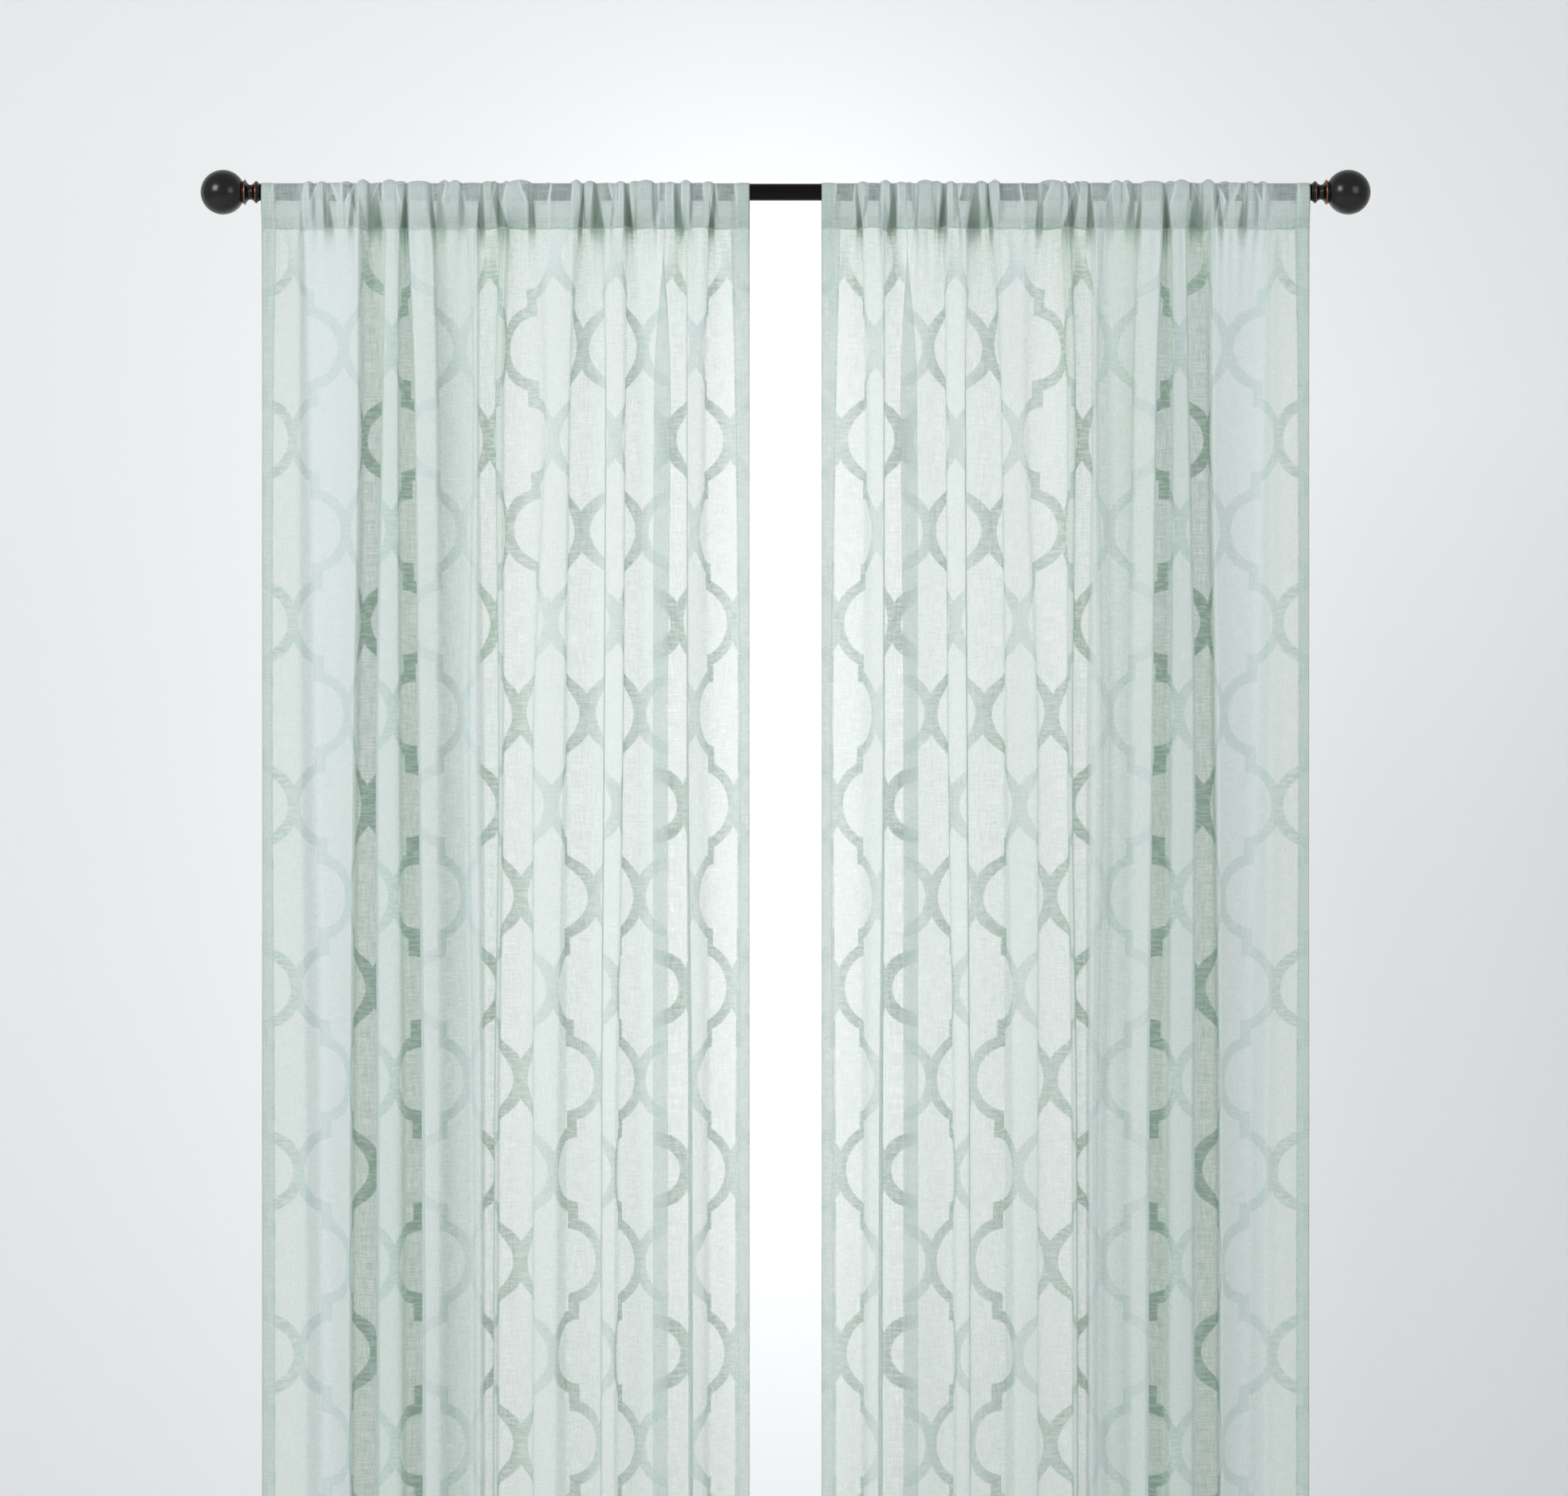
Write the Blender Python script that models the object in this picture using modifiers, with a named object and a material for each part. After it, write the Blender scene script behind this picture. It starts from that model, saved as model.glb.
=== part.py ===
"""Pair of sheer voile curtain panels gathered on a rod with ball finials.

Metres, +Z up. X runs along the rod, Y points away from the room towards the wall, and Z points up.
The origin is the middle of the rod, on its axis.
"""

import math
from collections import namedtuple

import bmesh
import bpy
import numpy as np

MM = 0.001

ROD_DIAMETER = 0.0235
ROD_LENGTH = 1.449
ROD_SIDES = 48

# The trellis woven into the voile marks every place on the cloth, so cloth is counted in its repeats.
TRELLIS_REPEAT = 0.1782
PANEL_INNER_EDGE = 0.0495
PANEL_HUNG_WIDTH = 0.673
PANEL_LENGTH = 2.134
CLOTH_THICKNESS = 0.0014

POCKET_SEAM_DROP = 0.0506
POCKET_CLEARANCE = 0.00095
POCKET_PUFF_SHARE = 0.13
POCKET_TOP_SHARE = 0.45
POCKET_ARC_STEPS = 5
SEAM_LAYER_GAP = 0.0025
SHARPEST_MITRE = 1.0

# Rows of the pocket's two layers between the rod and the seam: how far below the rod's axis each lies,
# and how far the cloth has come from its place against the rod (0) to its place in the seam (1).
POCKET_ROWS = ((0.010, 0.0), (0.030, 0.6))

# Heights at which the crease table gives the folds, and how deep the folds are at each.
SEAM_Z = -POCKET_SEAM_DROP
HIGH_Z = -0.274
MIDDLE_Z = -0.780
LOW_Z = -1.286
HEM_Z = ROD_DIAMETER / 2 + POCKET_CLEARANCE + CLOTH_THICKNESS - PANEL_LENGTH
DEPTH_AT = {SEAM_Z: 0.32, HIGH_Z: 0.85, MIDDLE_Z: 1.0, LOW_Z: 1.1, HEM_Z: 1.15}
HEM_DRIFT = 0.35
ROW_HEIGHTS = (HEM_Z, -1.90, -1.60, LOW_Z, -1.03, MIDDLE_Z, -0.52, HIGH_Z, -0.16, -0.09, SEAM_Z)
LONG_RUN_OF_CLOTH = 0.15
LONGEST_RUN_OF_CLOTH = 0.33

FINIAL_STEPS = 24
FINIAL_GAP = 0.0003
FINIAL_SEAT = 0.0510
BALL_RADIUS = 0.0311
BALL_RINGS = 9
COVE_STEPS = 3

# Turned places on the finial: how far along its axis from the ball's centre towards the rod, and radius.
Turned = namedtuple("Turned", "along radius")
FLANGE = (
    Turned(0.0270, 0.0154),
    Turned(0.0276, 0.0150),
    Turned(0.0292, 0.0169),
    Turned(0.0301, 0.0176),
    Turned(0.0313, 0.0170),
)
NECK = Turned(0.0378, 0.0103)
BEAD = (
    Turned(0.0444, 0.0148),
    Turned(0.0458, 0.0155),
    Turned(0.0470, 0.0150),
    Turned(0.0490, 0.0130),
)

# A crease of the left panel. The cloth columns give how much cloth lies between the outer edge and the
# crease, in trellis repeats, at three heights. The seam, at_high, at_middle and at_low columns give how
# far across the crease hangs from the outer edge, in millimetres. The out column is how far it stands
# towards the room, in millimetres, with the wall's side negative.
Crease = namedtuple("Crease", "cloth_high cloth_middle cloth_low seam at_high at_middle at_low out")
CREASES = (
    Crease(0.00, 0.00, 0.00, 0, 0, 0, 0, -6),
    Crease(0.07, 0.07, 0.07, 16, 12, 11, 13, -5),
    Crease(0.20, 0.20, 0.20, 37, 36, 35, 42, -2),
    Crease(0.30, 0.30, 0.30, 51, 50, 53, 59, 2),
    Crease(0.45, 0.45, 0.45, 57, 63, 72, 80, -17),
    Crease(0.91, 0.82, 0.76, 133, 134, 127, 123, 22),
    Crease(1.27, 1.20, 1.11, 142, 140, 134, 127, -38),
    Crease(1.41, 1.33, 1.28, 168, 165, 157, 158, -35),
    Crease(1.67, 1.59, 1.57, 172, 168, 159, 160, 10),
    Crease(1.81, 1.81, 1.81, 188, 188, 190, 193, 18),
    Crease(1.93, 1.93, 1.91, 192, 190, 195, 200, -3),
    Crease(2.11, 2.09, 2.03, 200, 211, 217, 222, -20),
    Crease(2.31, 2.32, 2.32, 205, 212, 218, 223, 14),
    Crease(2.47, 2.46, 2.45, 234, 241, 242, 245, 11),
    Crease(2.57, 2.58, 2.58, 239, 245, 255, 260, -8),
    Crease(2.87, 2.80, 2.78, 285, 290, 281, 288, -22),
    Crease(2.95, 2.87, 2.87, 290, 292, 288, 295, -4),
    Crease(3.09, 3.05, 3.05, 298, 298, 301, 304, -3),
    Crease(3.17, 3.13, 3.12, 303, 300, 308, 308, -22),
    Crease(3.32, 3.24, 3.20, 326, 321, 326, 320, -20),
    Crease(3.45, 3.38, 3.35, 331, 323, 327, 321, 8),
    Crease(3.61, 3.49, 3.47, 339, 333, 333, 327, 8),
    Crease(3.73, 3.61, 3.58, 344, 335, 334, 328, -19),
    Crease(4.08, 3.85, 3.85, 378, 386, 372, 372, -14),
    Crease(4.20, 4.13, 4.09, 394, 395, 377, 377, 6),
    Crease(4.38, 4.34, 4.28, 428, 424, 416, 408, 18),
    Crease(4.65, 4.59, 4.45, 443, 426, 421, 420, -30),
    Crease(4.95, 4.87, 4.79, 466, 474, 471, 467, -22),
    Crease(5.18, 5.15, 5.13, 477, 476, 474, 472, 19),
    Crease(5.31, 5.27, 5.24, 499, 499, 496, 488, 24),
    Crease(5.59, 5.59, 5.50, 506, 503, 499, 493, -25),
    Crease(5.82, 5.84, 5.85, 535, 538, 538, 538, -2),
    Crease(5.97, 5.95, 5.96, 549, 564, 560, 560, 9),
    Crease(6.01, 5.98, 5.99, 553, 564, 560, 560, 3),
    Crease(6.13, 6.06, 6.05, 557, 541, 540, 540, -6),
    Crease(6.17, 6.10, 6.09, 561, 541, 540, 540, -12),
    Crease(6.28, 6.16, 6.15, 572, 568, 562, 563, -18),
    Crease(6.38, 6.31, 6.29, 583, 584, 586, 590, -20),
    Crease(6.69, 6.68, 6.75, 592, 589, 589, 592, 32),
    Crease(6.81, 6.76, 6.84, 614, 608, 600, 607, 22),
    Crease(7.04, 7.05, 7.05, 619, 613, 624, 620, -19),
    Crease(7.32, 7.34, 7.34, 653, 658, 664, 662, -8),
    Crease(7.40, 7.40, 7.40, 673, 673, 673, 673, -6),
)
DEEPEST_VALLEY = min(crease.out for crease in CREASES) * MM
HIGHEST_RIDGE = max(crease.out for crease in CREASES) * MM


def clear_scene():
    """Remove every object that is already there."""
    for old in list(bpy.data.objects):
        bpy.data.objects.remove(old, do_unlink=True)


def make_material(name, colour, roughness, metallic=0.0, alpha=1.0):
    """A Principled material with one colour."""
    material = bpy.data.materials.new(name)
    material.use_nodes = True
    shader = material.node_tree.nodes["Principled BSDF"]
    shader.inputs["Base Color"].default_value = (*colour, 1.0)
    shader.inputs["Roughness"].default_value = roughness
    shader.inputs["Metallic"].default_value = metallic
    shader.inputs["Alpha"].default_value = alpha
    material.diffuse_color = (*colour, alpha)
    return material


def smooth_curve(places, values, wanted):
    """Values at the wanted places of a smooth curve through the given points that never overshoots them."""
    places = np.asarray(places, float)
    values = np.asarray(values, float)
    wanted = np.asarray(wanted, float)
    run = np.diff(places)
    slope = np.diff(values) / run
    tangent = np.zeros_like(values)
    same_way = slope[:-1] * slope[1:] > 0
    weight_before = 2 * run[1:] + run[:-1]
    weight_after = run[1:] + 2 * run[:-1]
    total = weight_before + weight_after
    before = np.where(same_way, slope[:-1], 1.0)
    after = np.where(same_way, slope[1:], 1.0)
    tangent[1:-1] = np.where(same_way, total / (weight_before / before + weight_after / after), 0.0)
    tangent[0] = slope[0]
    tangent[-1] = slope[-1]
    index = np.clip(np.searchsorted(places, wanted, side="right") - 1, 0, len(run) - 1)
    step = run[index]
    share = (wanted - places[index]) / step
    return (
        values[index] * (1 + 2 * share) * (1 - share) ** 2
        + tangent[index] * step * share * (1 - share) ** 2
        + values[index + 1] * share**2 * (3 - 2 * share)
        - tangent[index + 1] * step * share**2 * (1 - share)
    )


def crease_column(name):
    """One column of the crease table."""
    return np.array([getattr(crease, name) for crease in CREASES], float)


def crease_levels():
    """Each level's height with the creases' cloth, distance across and depth there, top to bottom."""
    cloth_high = crease_column("cloth_high")
    cloth_middle = crease_column("cloth_middle")
    cloth_low = crease_column("cloth_low")
    cloth_hem = cloth_low + HEM_DRIFT * (cloth_low - cloth_middle)
    at_middle = crease_column("at_middle") * MM
    at_low = crease_column("at_low") * MM
    at_hem = at_low + HEM_DRIFT * (at_low - at_middle)
    out = crease_column("out") * MM
    return (
        (SEAM_Z, cloth_high, crease_column("seam") * MM, out * DEPTH_AT[SEAM_Z]),
        (HIGH_Z, cloth_high, crease_column("at_high") * MM, out * DEPTH_AT[HIGH_Z]),
        (MIDDLE_Z, cloth_middle, at_middle, out * DEPTH_AT[MIDDLE_Z]),
        (LOW_Z, cloth_low, at_low, out * DEPTH_AT[LOW_Z]),
        (HEM_Z, cloth_hem, at_hem, out * DEPTH_AT[HEM_Z]),
    )


def creases_at(height):
    """Cloth, distance across and depth of every crease at one height."""
    heights, cloth, across, out = zip(*crease_levels())
    drops = [-level for level in heights]
    return [
        np.array([smooth_curve(drops, line, [-height])[0] for line in np.transpose(values)])
        for values in (cloth, across, out)
    ]


def column_places():
    """Where the mesh has its columns: at each crease, and between creases that lie far apart."""
    places = []
    runs = np.diff([crease.cloth_high for crease in CREASES])
    for number, run in enumerate(runs):
        pieces = 1 + (run >= LONG_RUN_OF_CLOTH) + (run >= LONGEST_RUN_OF_CLOTH)
        places += [number + step / pieces for step in range(pieces)]
    return np.array(places + [float(len(runs))])


def row_of_cloth(height, places):
    """The plan of the hanging cloth at one height: distance across and depth at every column."""
    cloth, across, out = creases_at(height)
    before = np.minimum(places.astype(int), len(CREASES) - 2)
    wanted = cloth[before] + (places - before) * (cloth[before + 1] - cloth[before])
    return smooth_curve(cloth, across, wanted), smooth_curve(cloth, out, wanted)


def layer_behind(across, out, gap):
    """The plan of a layer of cloth that lies a gap behind a row of cloth, on the side of the wall."""
    run_x = np.diff(across)
    run_out = np.diff(out)
    length = np.hypot(run_x, run_out)
    square_x = np.concatenate([run_out[:1] / length[:1], run_out / length, run_out[-1:] / length[-1:]])
    square_out = np.concatenate([-run_x[:1] / length[:1], -run_x / length, -run_x[-1:] / length[-1:]])
    corner_x = square_x[:-1] + square_x[1:]
    corner_out = square_out[:-1] + square_out[1:]
    mitre = 2 * gap / np.maximum(corner_x**2 + corner_out**2, SHARPEST_MITRE)
    return across + mitre * corner_x, out + mitre * corner_out


def panel_rows():
    """Rows of points of the left panel, from its bottom edge up the front and down the pocket's back."""
    places = column_places()
    edge_x = -PANEL_INNER_EDGE - PANEL_HUNG_WIDTH
    rows = []
    for height in ROW_HEIGHTS:
        across, out = row_of_cloth(height, places)
        rows.append((edge_x + across, -out, np.full_like(across, height)))

    across, seam_out = row_of_cloth(SEAM_Z, places)
    full_out = seam_out / DEPTH_AT[SEAM_Z]
    front_puff = POCKET_PUFF_SHARE * np.maximum(full_out - DEEPEST_VALLEY, 0)
    back_puff = POCKET_PUFF_SHARE * np.maximum(HIGHEST_RIDGE - full_out, 0)
    radius = ROD_DIAMETER / 2 + POCKET_CLEARANCE + CLOTH_THICKNESS / 2
    pocket_x = edge_x + across

    for drop, share in reversed(POCKET_ROWS):
        out = (1 - share) * (radius + front_puff) + share * seam_out
        rows.append((pocket_x, -out, np.full_like(across, -drop)))

    for step in range(POCKET_ARC_STEPS + 1):
        angle = math.pi * step / POCKET_ARC_STEPS
        turn = math.cos(angle)
        side_puff = front_puff if turn > 0 else back_puff
        lift = POCKET_TOP_SHARE * front_puff * (1 - abs(turn)) + side_puff * abs(turn)
        rows.append((pocket_x, -(radius + lift) * turn, (radius + lift) * math.sin(angle)))

    back_across, back_out = layer_behind(across, seam_out, SEAM_LAYER_GAP)
    for drop, share in POCKET_ROWS + ((POCKET_SEAM_DROP, 1.0),):
        x = edge_x + (1 - share) * across + share * back_across
        out = -(1 - share) * (radius + back_puff) + share * back_out
        rows.append((x, -out, np.full_like(across, -drop)))
    return rows


def make_panel(name, side, material, collection):
    """One gathered panel. side is -1 for the left one and +1 for its mirror image on the right."""
    rows = panel_rows()
    last_row = len(rows) - 1
    last_column = len(rows[0][0]) - 1
    grid = bmesh.new()
    bmesh.ops.create_grid(grid, x_segments=last_column, y_segments=last_row, size=1)
    for point in grid.verts:
        column = round((point.co.x + 1) / 2 * last_column)
        x, y, z = rows[round((point.co.y + 1) / 2 * last_row)]
        point.co = (-side * x[column], y[column], z[column])
    if side > 0:
        bmesh.ops.reverse_faces(grid, faces=grid.faces)
    mesh = bpy.data.meshes.new(name)
    grid.to_mesh(mesh)
    grid.free()
    mesh.shade_smooth()
    mesh.materials.append(material)
    panel = bpy.data.objects.new(name, mesh)
    collection.objects.link(panel)
    thickness = panel.modifiers.new("Cloth thickness", "SOLIDIFY")
    thickness.thickness = CLOTH_THICKNESS
    thickness.offset = 0.0
    return panel


def make_rod(material, collection):
    """The plain tube that both pockets hang from, shown solid."""
    bpy.ops.mesh.primitive_cylinder_add(
        vertices=ROD_SIDES, radius=ROD_DIAMETER / 2, depth=ROD_LENGTH, rotation=(0, math.pi / 2, 0)
    )
    rod = bpy.context.active_object
    rod.name = "rod"
    rod.data.name = "rod"
    rod.data.materials.append(material)
    rod.data.shade_smooth()
    rod.data.set_sharp_from_angle(angle=math.radians(40))
    for holder in list(rod.users_collection):
        holder.objects.unlink(rod)
    collection.objects.link(rod)
    return rod


def half_cove(edge, lowest, steps):
    """Points of one side of a hollow, from its edge to just before its lowest point."""
    points = []
    for step in range(steps):
        share = 1 - step / steps
        along = lowest.along + share * (edge.along - lowest.along)
        radius = lowest.radius + share**2 * (edge.radius - lowest.radius)
        points.append(Turned(along, radius))
    return points


def finial_profile():
    """The finial's outline from the ball's far pole to the middle of the face that meets the rod."""
    sweep = math.pi - math.asin(FLANGE[0].radius / BALL_RADIUS)
    profile = [Turned(-BALL_RADIUS, 0.0)]
    for step in range(1, BALL_RINGS + 1):
        angle = sweep * step / BALL_RINGS
        profile.append(Turned(-BALL_RADIUS * math.cos(angle), BALL_RADIUS * math.sin(angle)))
    profile += FLANGE[1:-1]
    profile += half_cove(FLANGE[-1], NECK, COVE_STEPS)
    profile.append(NECK)
    profile += reversed(half_cove(BEAD[0], NECK, COVE_STEPS))
    profile += BEAD[1:]
    profile.append(Turned(FINIAL_SEAT, ROD_DIAMETER / 2))
    profile.append(Turned(FINIAL_SEAT, 0.0))
    return profile


def make_finial(name, side, mesh, collection):
    """A turned ball with its flange, neck and bead, on the end of the rod."""
    finial = bpy.data.objects.new(name, mesh)
    collection.objects.link(finial)
    finial.location = (side * (ROD_LENGTH / 2 + FINIAL_GAP + FINIAL_SEAT), 0, 0)
    finial.rotation_euler = (0, side * math.pi / 2, 0)
    turning = finial.modifiers.new("Turning", "SCREW")
    turning.axis = "Z"
    turning.angle = 2 * math.pi
    turning.steps = FINIAL_STEPS
    turning.render_steps = FINIAL_STEPS
    turning.use_merge_vertices = True
    turning.merge_threshold = 0.00001
    return finial


def main():
    clear_scene()
    curtain = bpy.data.collections.new("sheer_voile_curtain_pair_on_rod")
    bpy.context.scene.collection.children.link(curtain)

    bronze = make_material("dark_bronze", (0.018, 0.014, 0.013), 0.38, metallic=0.6)
    ball_bronze = make_material("finial_bronze", (0.022, 0.017, 0.015), 0.3, metallic=0.6)
    left_voile = make_material("voile_left", (0.62, 0.76, 0.70), 0.85, alpha=0.8)
    right_voile = make_material("voile_right", (0.62, 0.76, 0.70), 0.85, alpha=0.8)

    make_rod(bronze, curtain)
    turned = bpy.data.meshes.new("finial")
    outline = [(place.radius, 0.0, -place.along) for place in finial_profile()]
    turned.from_pydata(outline, [(point, point + 1) for point in range(len(outline) - 1)], [])
    turned.materials.append(ball_bronze)
    make_finial("finial_left", -1, turned, curtain)
    make_finial("finial_right", 1, turned, curtain)
    make_panel("panel_left", -1, left_voile, curtain)
    make_panel("panel_right", 1, right_voile, curtain)


main()
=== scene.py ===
import math
from collections import namedtuple

import bmesh
import bpy
import numpy as np
from bpy.props import FloatProperty, FloatVectorProperty, IntProperty, PointerProperty
from mathutils import Matrix, Vector


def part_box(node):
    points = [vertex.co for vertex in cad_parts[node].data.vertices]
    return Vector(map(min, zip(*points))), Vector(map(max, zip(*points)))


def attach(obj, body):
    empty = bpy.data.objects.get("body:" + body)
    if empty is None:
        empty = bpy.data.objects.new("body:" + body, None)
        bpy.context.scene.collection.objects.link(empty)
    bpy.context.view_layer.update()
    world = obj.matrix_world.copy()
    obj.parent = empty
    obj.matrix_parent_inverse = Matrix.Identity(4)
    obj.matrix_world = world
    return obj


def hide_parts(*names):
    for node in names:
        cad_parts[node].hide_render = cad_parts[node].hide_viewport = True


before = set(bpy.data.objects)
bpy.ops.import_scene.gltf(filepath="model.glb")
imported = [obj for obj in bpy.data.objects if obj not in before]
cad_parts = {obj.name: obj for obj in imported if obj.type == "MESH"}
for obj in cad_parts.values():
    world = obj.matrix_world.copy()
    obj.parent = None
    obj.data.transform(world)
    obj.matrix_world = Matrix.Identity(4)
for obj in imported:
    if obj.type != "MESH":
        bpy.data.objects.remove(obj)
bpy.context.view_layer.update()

bl_info = {
    "name": "Sheer Voile Curtain Pair",
    "version": (1, 0, 0),
    "blender": (4, 5, 0),
    "location": "View3D > Sidebar > Curtain",
    "description": "Dresses a pair of gathered voile panels on their rod",
    "category": "Object",
}

MM = 0.001
ROD_LOW, ROD_HIGH = (Vector(corner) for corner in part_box("rod"))
ROD_RADIUS = (ROD_HIGH.z - ROD_LOW.z) / 2
ROD_HALF = ROD_HIGH.x
LEFT_LOW = Vector(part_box("panel_left")[0])
OUTER_EDGE = LEFT_LOW.x
HEM_Z = LEFT_LOW.z
FINIAL_LOW, FINIAL_HIGH = (Vector(corner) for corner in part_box("finial_left"))
BALL_RADIUS = FINIAL_HIGH.z
BALL_CENTRE = -FINIAL_LOW.x - BALL_RADIUS

# Heights at which the crease table gives the folds, and how deep the folds are at each.
SEAM_Z = -0.0506
HIGH_Z = -0.274
MIDDLE_Z = -0.780
LOW_Z = -1.286
DEPTH_AT = {SEAM_Z: 0.32, HIGH_Z: 0.85, MIDDLE_Z: 1.0, LOW_Z: 1.1, HEM_Z: 1.15}

# How far the folds drift on below the lowest height of the table, as a share of their last drift, and a
# panel's cloth between its two side hems, in trellis repeats.
HEM_DRIFT = 0.35
PANEL_CLOTH_WIDTH = 7.40
TRELLIS_WIDTH = 0.1782
TRELLIS_HEIGHT = 0.2525

# A crease of the left panel. The cloth columns give how much cloth lies between the outer edge and the
# crease, in trellis repeats, at three heights. The seam, at_high, at_middle and at_low columns give how
# far across the crease hangs from the outer edge, in millimetres. The out column is how far it stands
# towards the room, in millimetres, with the wall's side negative. The deep column is how much painted shade
# between the folds it has, a darker greener colour, in hundredths, and the layers column how many layers it
# looks like.
Crease = namedtuple(
    "Crease", "cloth_high cloth_middle cloth_low seam at_high at_middle at_low out deep layers")
CREASES = (
    Crease(0.00, 0.00, 0.00, 0, 0, 0, 0, -6, 50, 1.3),
    Crease(0.07, 0.07, 0.07, 16, 12, 11, 13, -5, 85, 1.1),
    Crease(0.20, 0.20, 0.20, 37, 36, 35, 42, -2, 65, 1.0),
    Crease(0.30, 0.30, 0.30, 51, 50, 53, 59, 2, 25, 1.3),
    Crease(0.45, 0.45, 0.45, 57, 63, 72, 80, -17, 5, 1.0),
    Crease(0.91, 0.82, 0.76, 133, 134, 127, 123, 22, 12, 1.2),
    Crease(1.27, 1.20, 1.11, 142, 140, 134, 127, -38, 85, 1.9),
    Crease(1.41, 1.33, 1.28, 168, 165, 157, 158, -35, 80, 2.0),
    Crease(1.67, 1.59, 1.57, 172, 168, 159, 160, 10, 5, 1.5),
    Crease(1.81, 1.81, 1.81, 188, 188, 190, 193, 18, 60, 2.0),
    Crease(1.93, 1.93, 1.91, 192, 190, 195, 200, -3, 85, 2.2),
    Crease(2.11, 2.09, 2.03, 200, 211, 217, 222, -20, 80, 2.0),
    Crease(2.31, 2.32, 2.32, 205, 212, 218, 223, 14, 5, 1.4),
    Crease(2.47, 2.46, 2.45, 234, 241, 242, 245, 11, 30, 1.6),
    Crease(2.57, 2.58, 2.58, 239, 245, 255, 260, -8, 75, 2.4),
    Crease(2.87, 2.80, 2.78, 285, 290, 281, 288, -22, 10, 1.4),
    Crease(2.95, 2.87, 2.87, 290, 292, 288, 295, -4, 5, 1.1),
    Crease(3.09, 3.05, 3.05, 298, 298, 301, 304, -3, 10, 1.1),
    Crease(3.17, 3.13, 3.12, 303, 300, 308, 308, -22, 90, 0.8),
    Crease(3.32, 3.24, 3.20, 326, 321, 326, 320, -20, 100, 1.4),
    Crease(3.45, 3.38, 3.35, 331, 323, 327, 321, 8, 60, 1.6),
    Crease(3.61, 3.49, 3.47, 339, 333, 333, 327, 8, 50, 1.1),
    Crease(3.73, 3.61, 3.58, 344, 335, 334, 328, -19, 100, 0.8),
    Crease(4.08, 3.85, 3.85, 378, 386, 372, 372, -14, 65, 0.9),
    Crease(4.20, 4.13, 4.09, 394, 395, 377, 377, 6, 10, 0.7),
    Crease(4.38, 4.34, 4.28, 428, 424, 416, 408, 18, 45, 1.0),
    Crease(4.65, 4.59, 4.45, 443, 426, 421, 420, -30, 95, 1.0),
    Crease(4.95, 4.87, 4.79, 466, 474, 471, 467, -22, 35, 0.75),
    Crease(5.18, 5.15, 5.13, 477, 476, 474, 472, 19, 15, 0.7),
    Crease(5.31, 5.27, 5.24, 499, 499, 496, 488, 24, 60, 0.9),
    Crease(5.59, 5.59, 5.50, 506, 503, 499, 493, -25, 100, 0.9),
    Crease(5.82, 5.84, 5.85, 535, 538, 538, 538, -2, 30, 0.9),
    Crease(5.97, 5.95, 5.96, 549, 564, 560, 560, 9, 0, 0.3),
    Crease(6.01, 5.98, 5.99, 553, 564, 560, 560, 3, 0, 0.3),
    Crease(6.13, 6.06, 6.05, 557, 541, 540, 540, -6, 5, 0.3),
    Crease(6.17, 6.10, 6.09, 561, 541, 540, 540, -12, 5, 0.3),
    Crease(6.28, 6.16, 6.15, 572, 568, 562, 563, -18, 100, 1.0),
    Crease(6.38, 6.31, 6.29, 583, 584, 586, 590, -20, 70, 0.8),
    Crease(6.69, 6.68, 6.75, 592, 589, 589, 592, 32, 15, 0.8),
    Crease(6.81, 6.76, 6.84, 614, 608, 600, 607, 22, 30, 0.8),
    Crease(7.04, 7.05, 7.05, 619, 613, 624, 620, -19, 95, 0.9),
    Crease(7.32, 7.34, 7.34, 653, 658, 664, 662, -8, 60, 0.7),
    Crease(7.40, 7.40, 7.40, 673, 673, 673, 673, -6, 40, 0.8),
)

# A puff of the pocket, in millimetres: how far its middle is from the outer edge where it lies over the
# rod and in the seam, half its width, and how far it stands off the rod in front and on top.
Puff = namedtuple("Puff", "at_rod at_seam half_width out top")
PUFFS = (
    Puff(8, 8, 9, 1.5, 0.6),
    Puff(65, 64, 6, 4.0, 2.8),
    Puff(83, 82, 6, 4.5, 2.6),
    Puff(104, 103, 13, 2.5, 0.8),
    Puff(117, 129, 7, 5.5, 2.0),
    Puff(140, 139, 8, 8.0, 5.0),
    Puff(163, 161, 6, 3.0, 0.8),
    Puff(177, 178, 11, 7.5, 5.0),
    Puff(192, 188, 7, 6.0, 2.4),
    Puff(217, 219, 15, 7.0, 2.2),
    Puff(252, 258, 7, 5.5, 4.4),
    Puff(267, 268, 8, 7.0, 4.0),
    Puff(291, 290, 12, 2.6, 0.8),
    Puff(312, 311, 7, 6.0, 2.2),
    Puff(321, 322, 5, 3.6, 3.0),
    Puff(338, 338, 5, 4.4, 3.4),
    Puff(356, 357, 16, 8.0, 4.2),
    Puff(396, 396, 6, 1.2, 0.5),
    Puff(434, 435, 7, 6.6, 4.8),
    Puff(453, 453, 7, 6.0, 3.0),
    Puff(476, 476, 9, 1.4, 0.5),
    Puff(495, 495, 6, 6.0, 2.4),
    Puff(515, 517, 7, 6.4, 2.6),
    Puff(530, 529, 11, 9.0, 3.2),
    Puff(552, 552, 5, 3.0, 1.0),
    Puff(563, 563, 7, 4.4, 1.6),
    Puff(585, 584, 7, 7.0, 4.2),
    Puff(603, 600, 10, 1.8, 0.6),
    Puff(616, 624, 6, 5.4, 2.0),
    Puff(664, 664, 10, 1.5, 0.7),
)

# How much wider than its table row a puff is in front and on top, and the share of a pillow's half width
# that its steep side takes.
PUFF_SPREAD = 1.25
CROWN_SPREAD = 1.1
PILLOW_SIDE = 0.45
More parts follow.
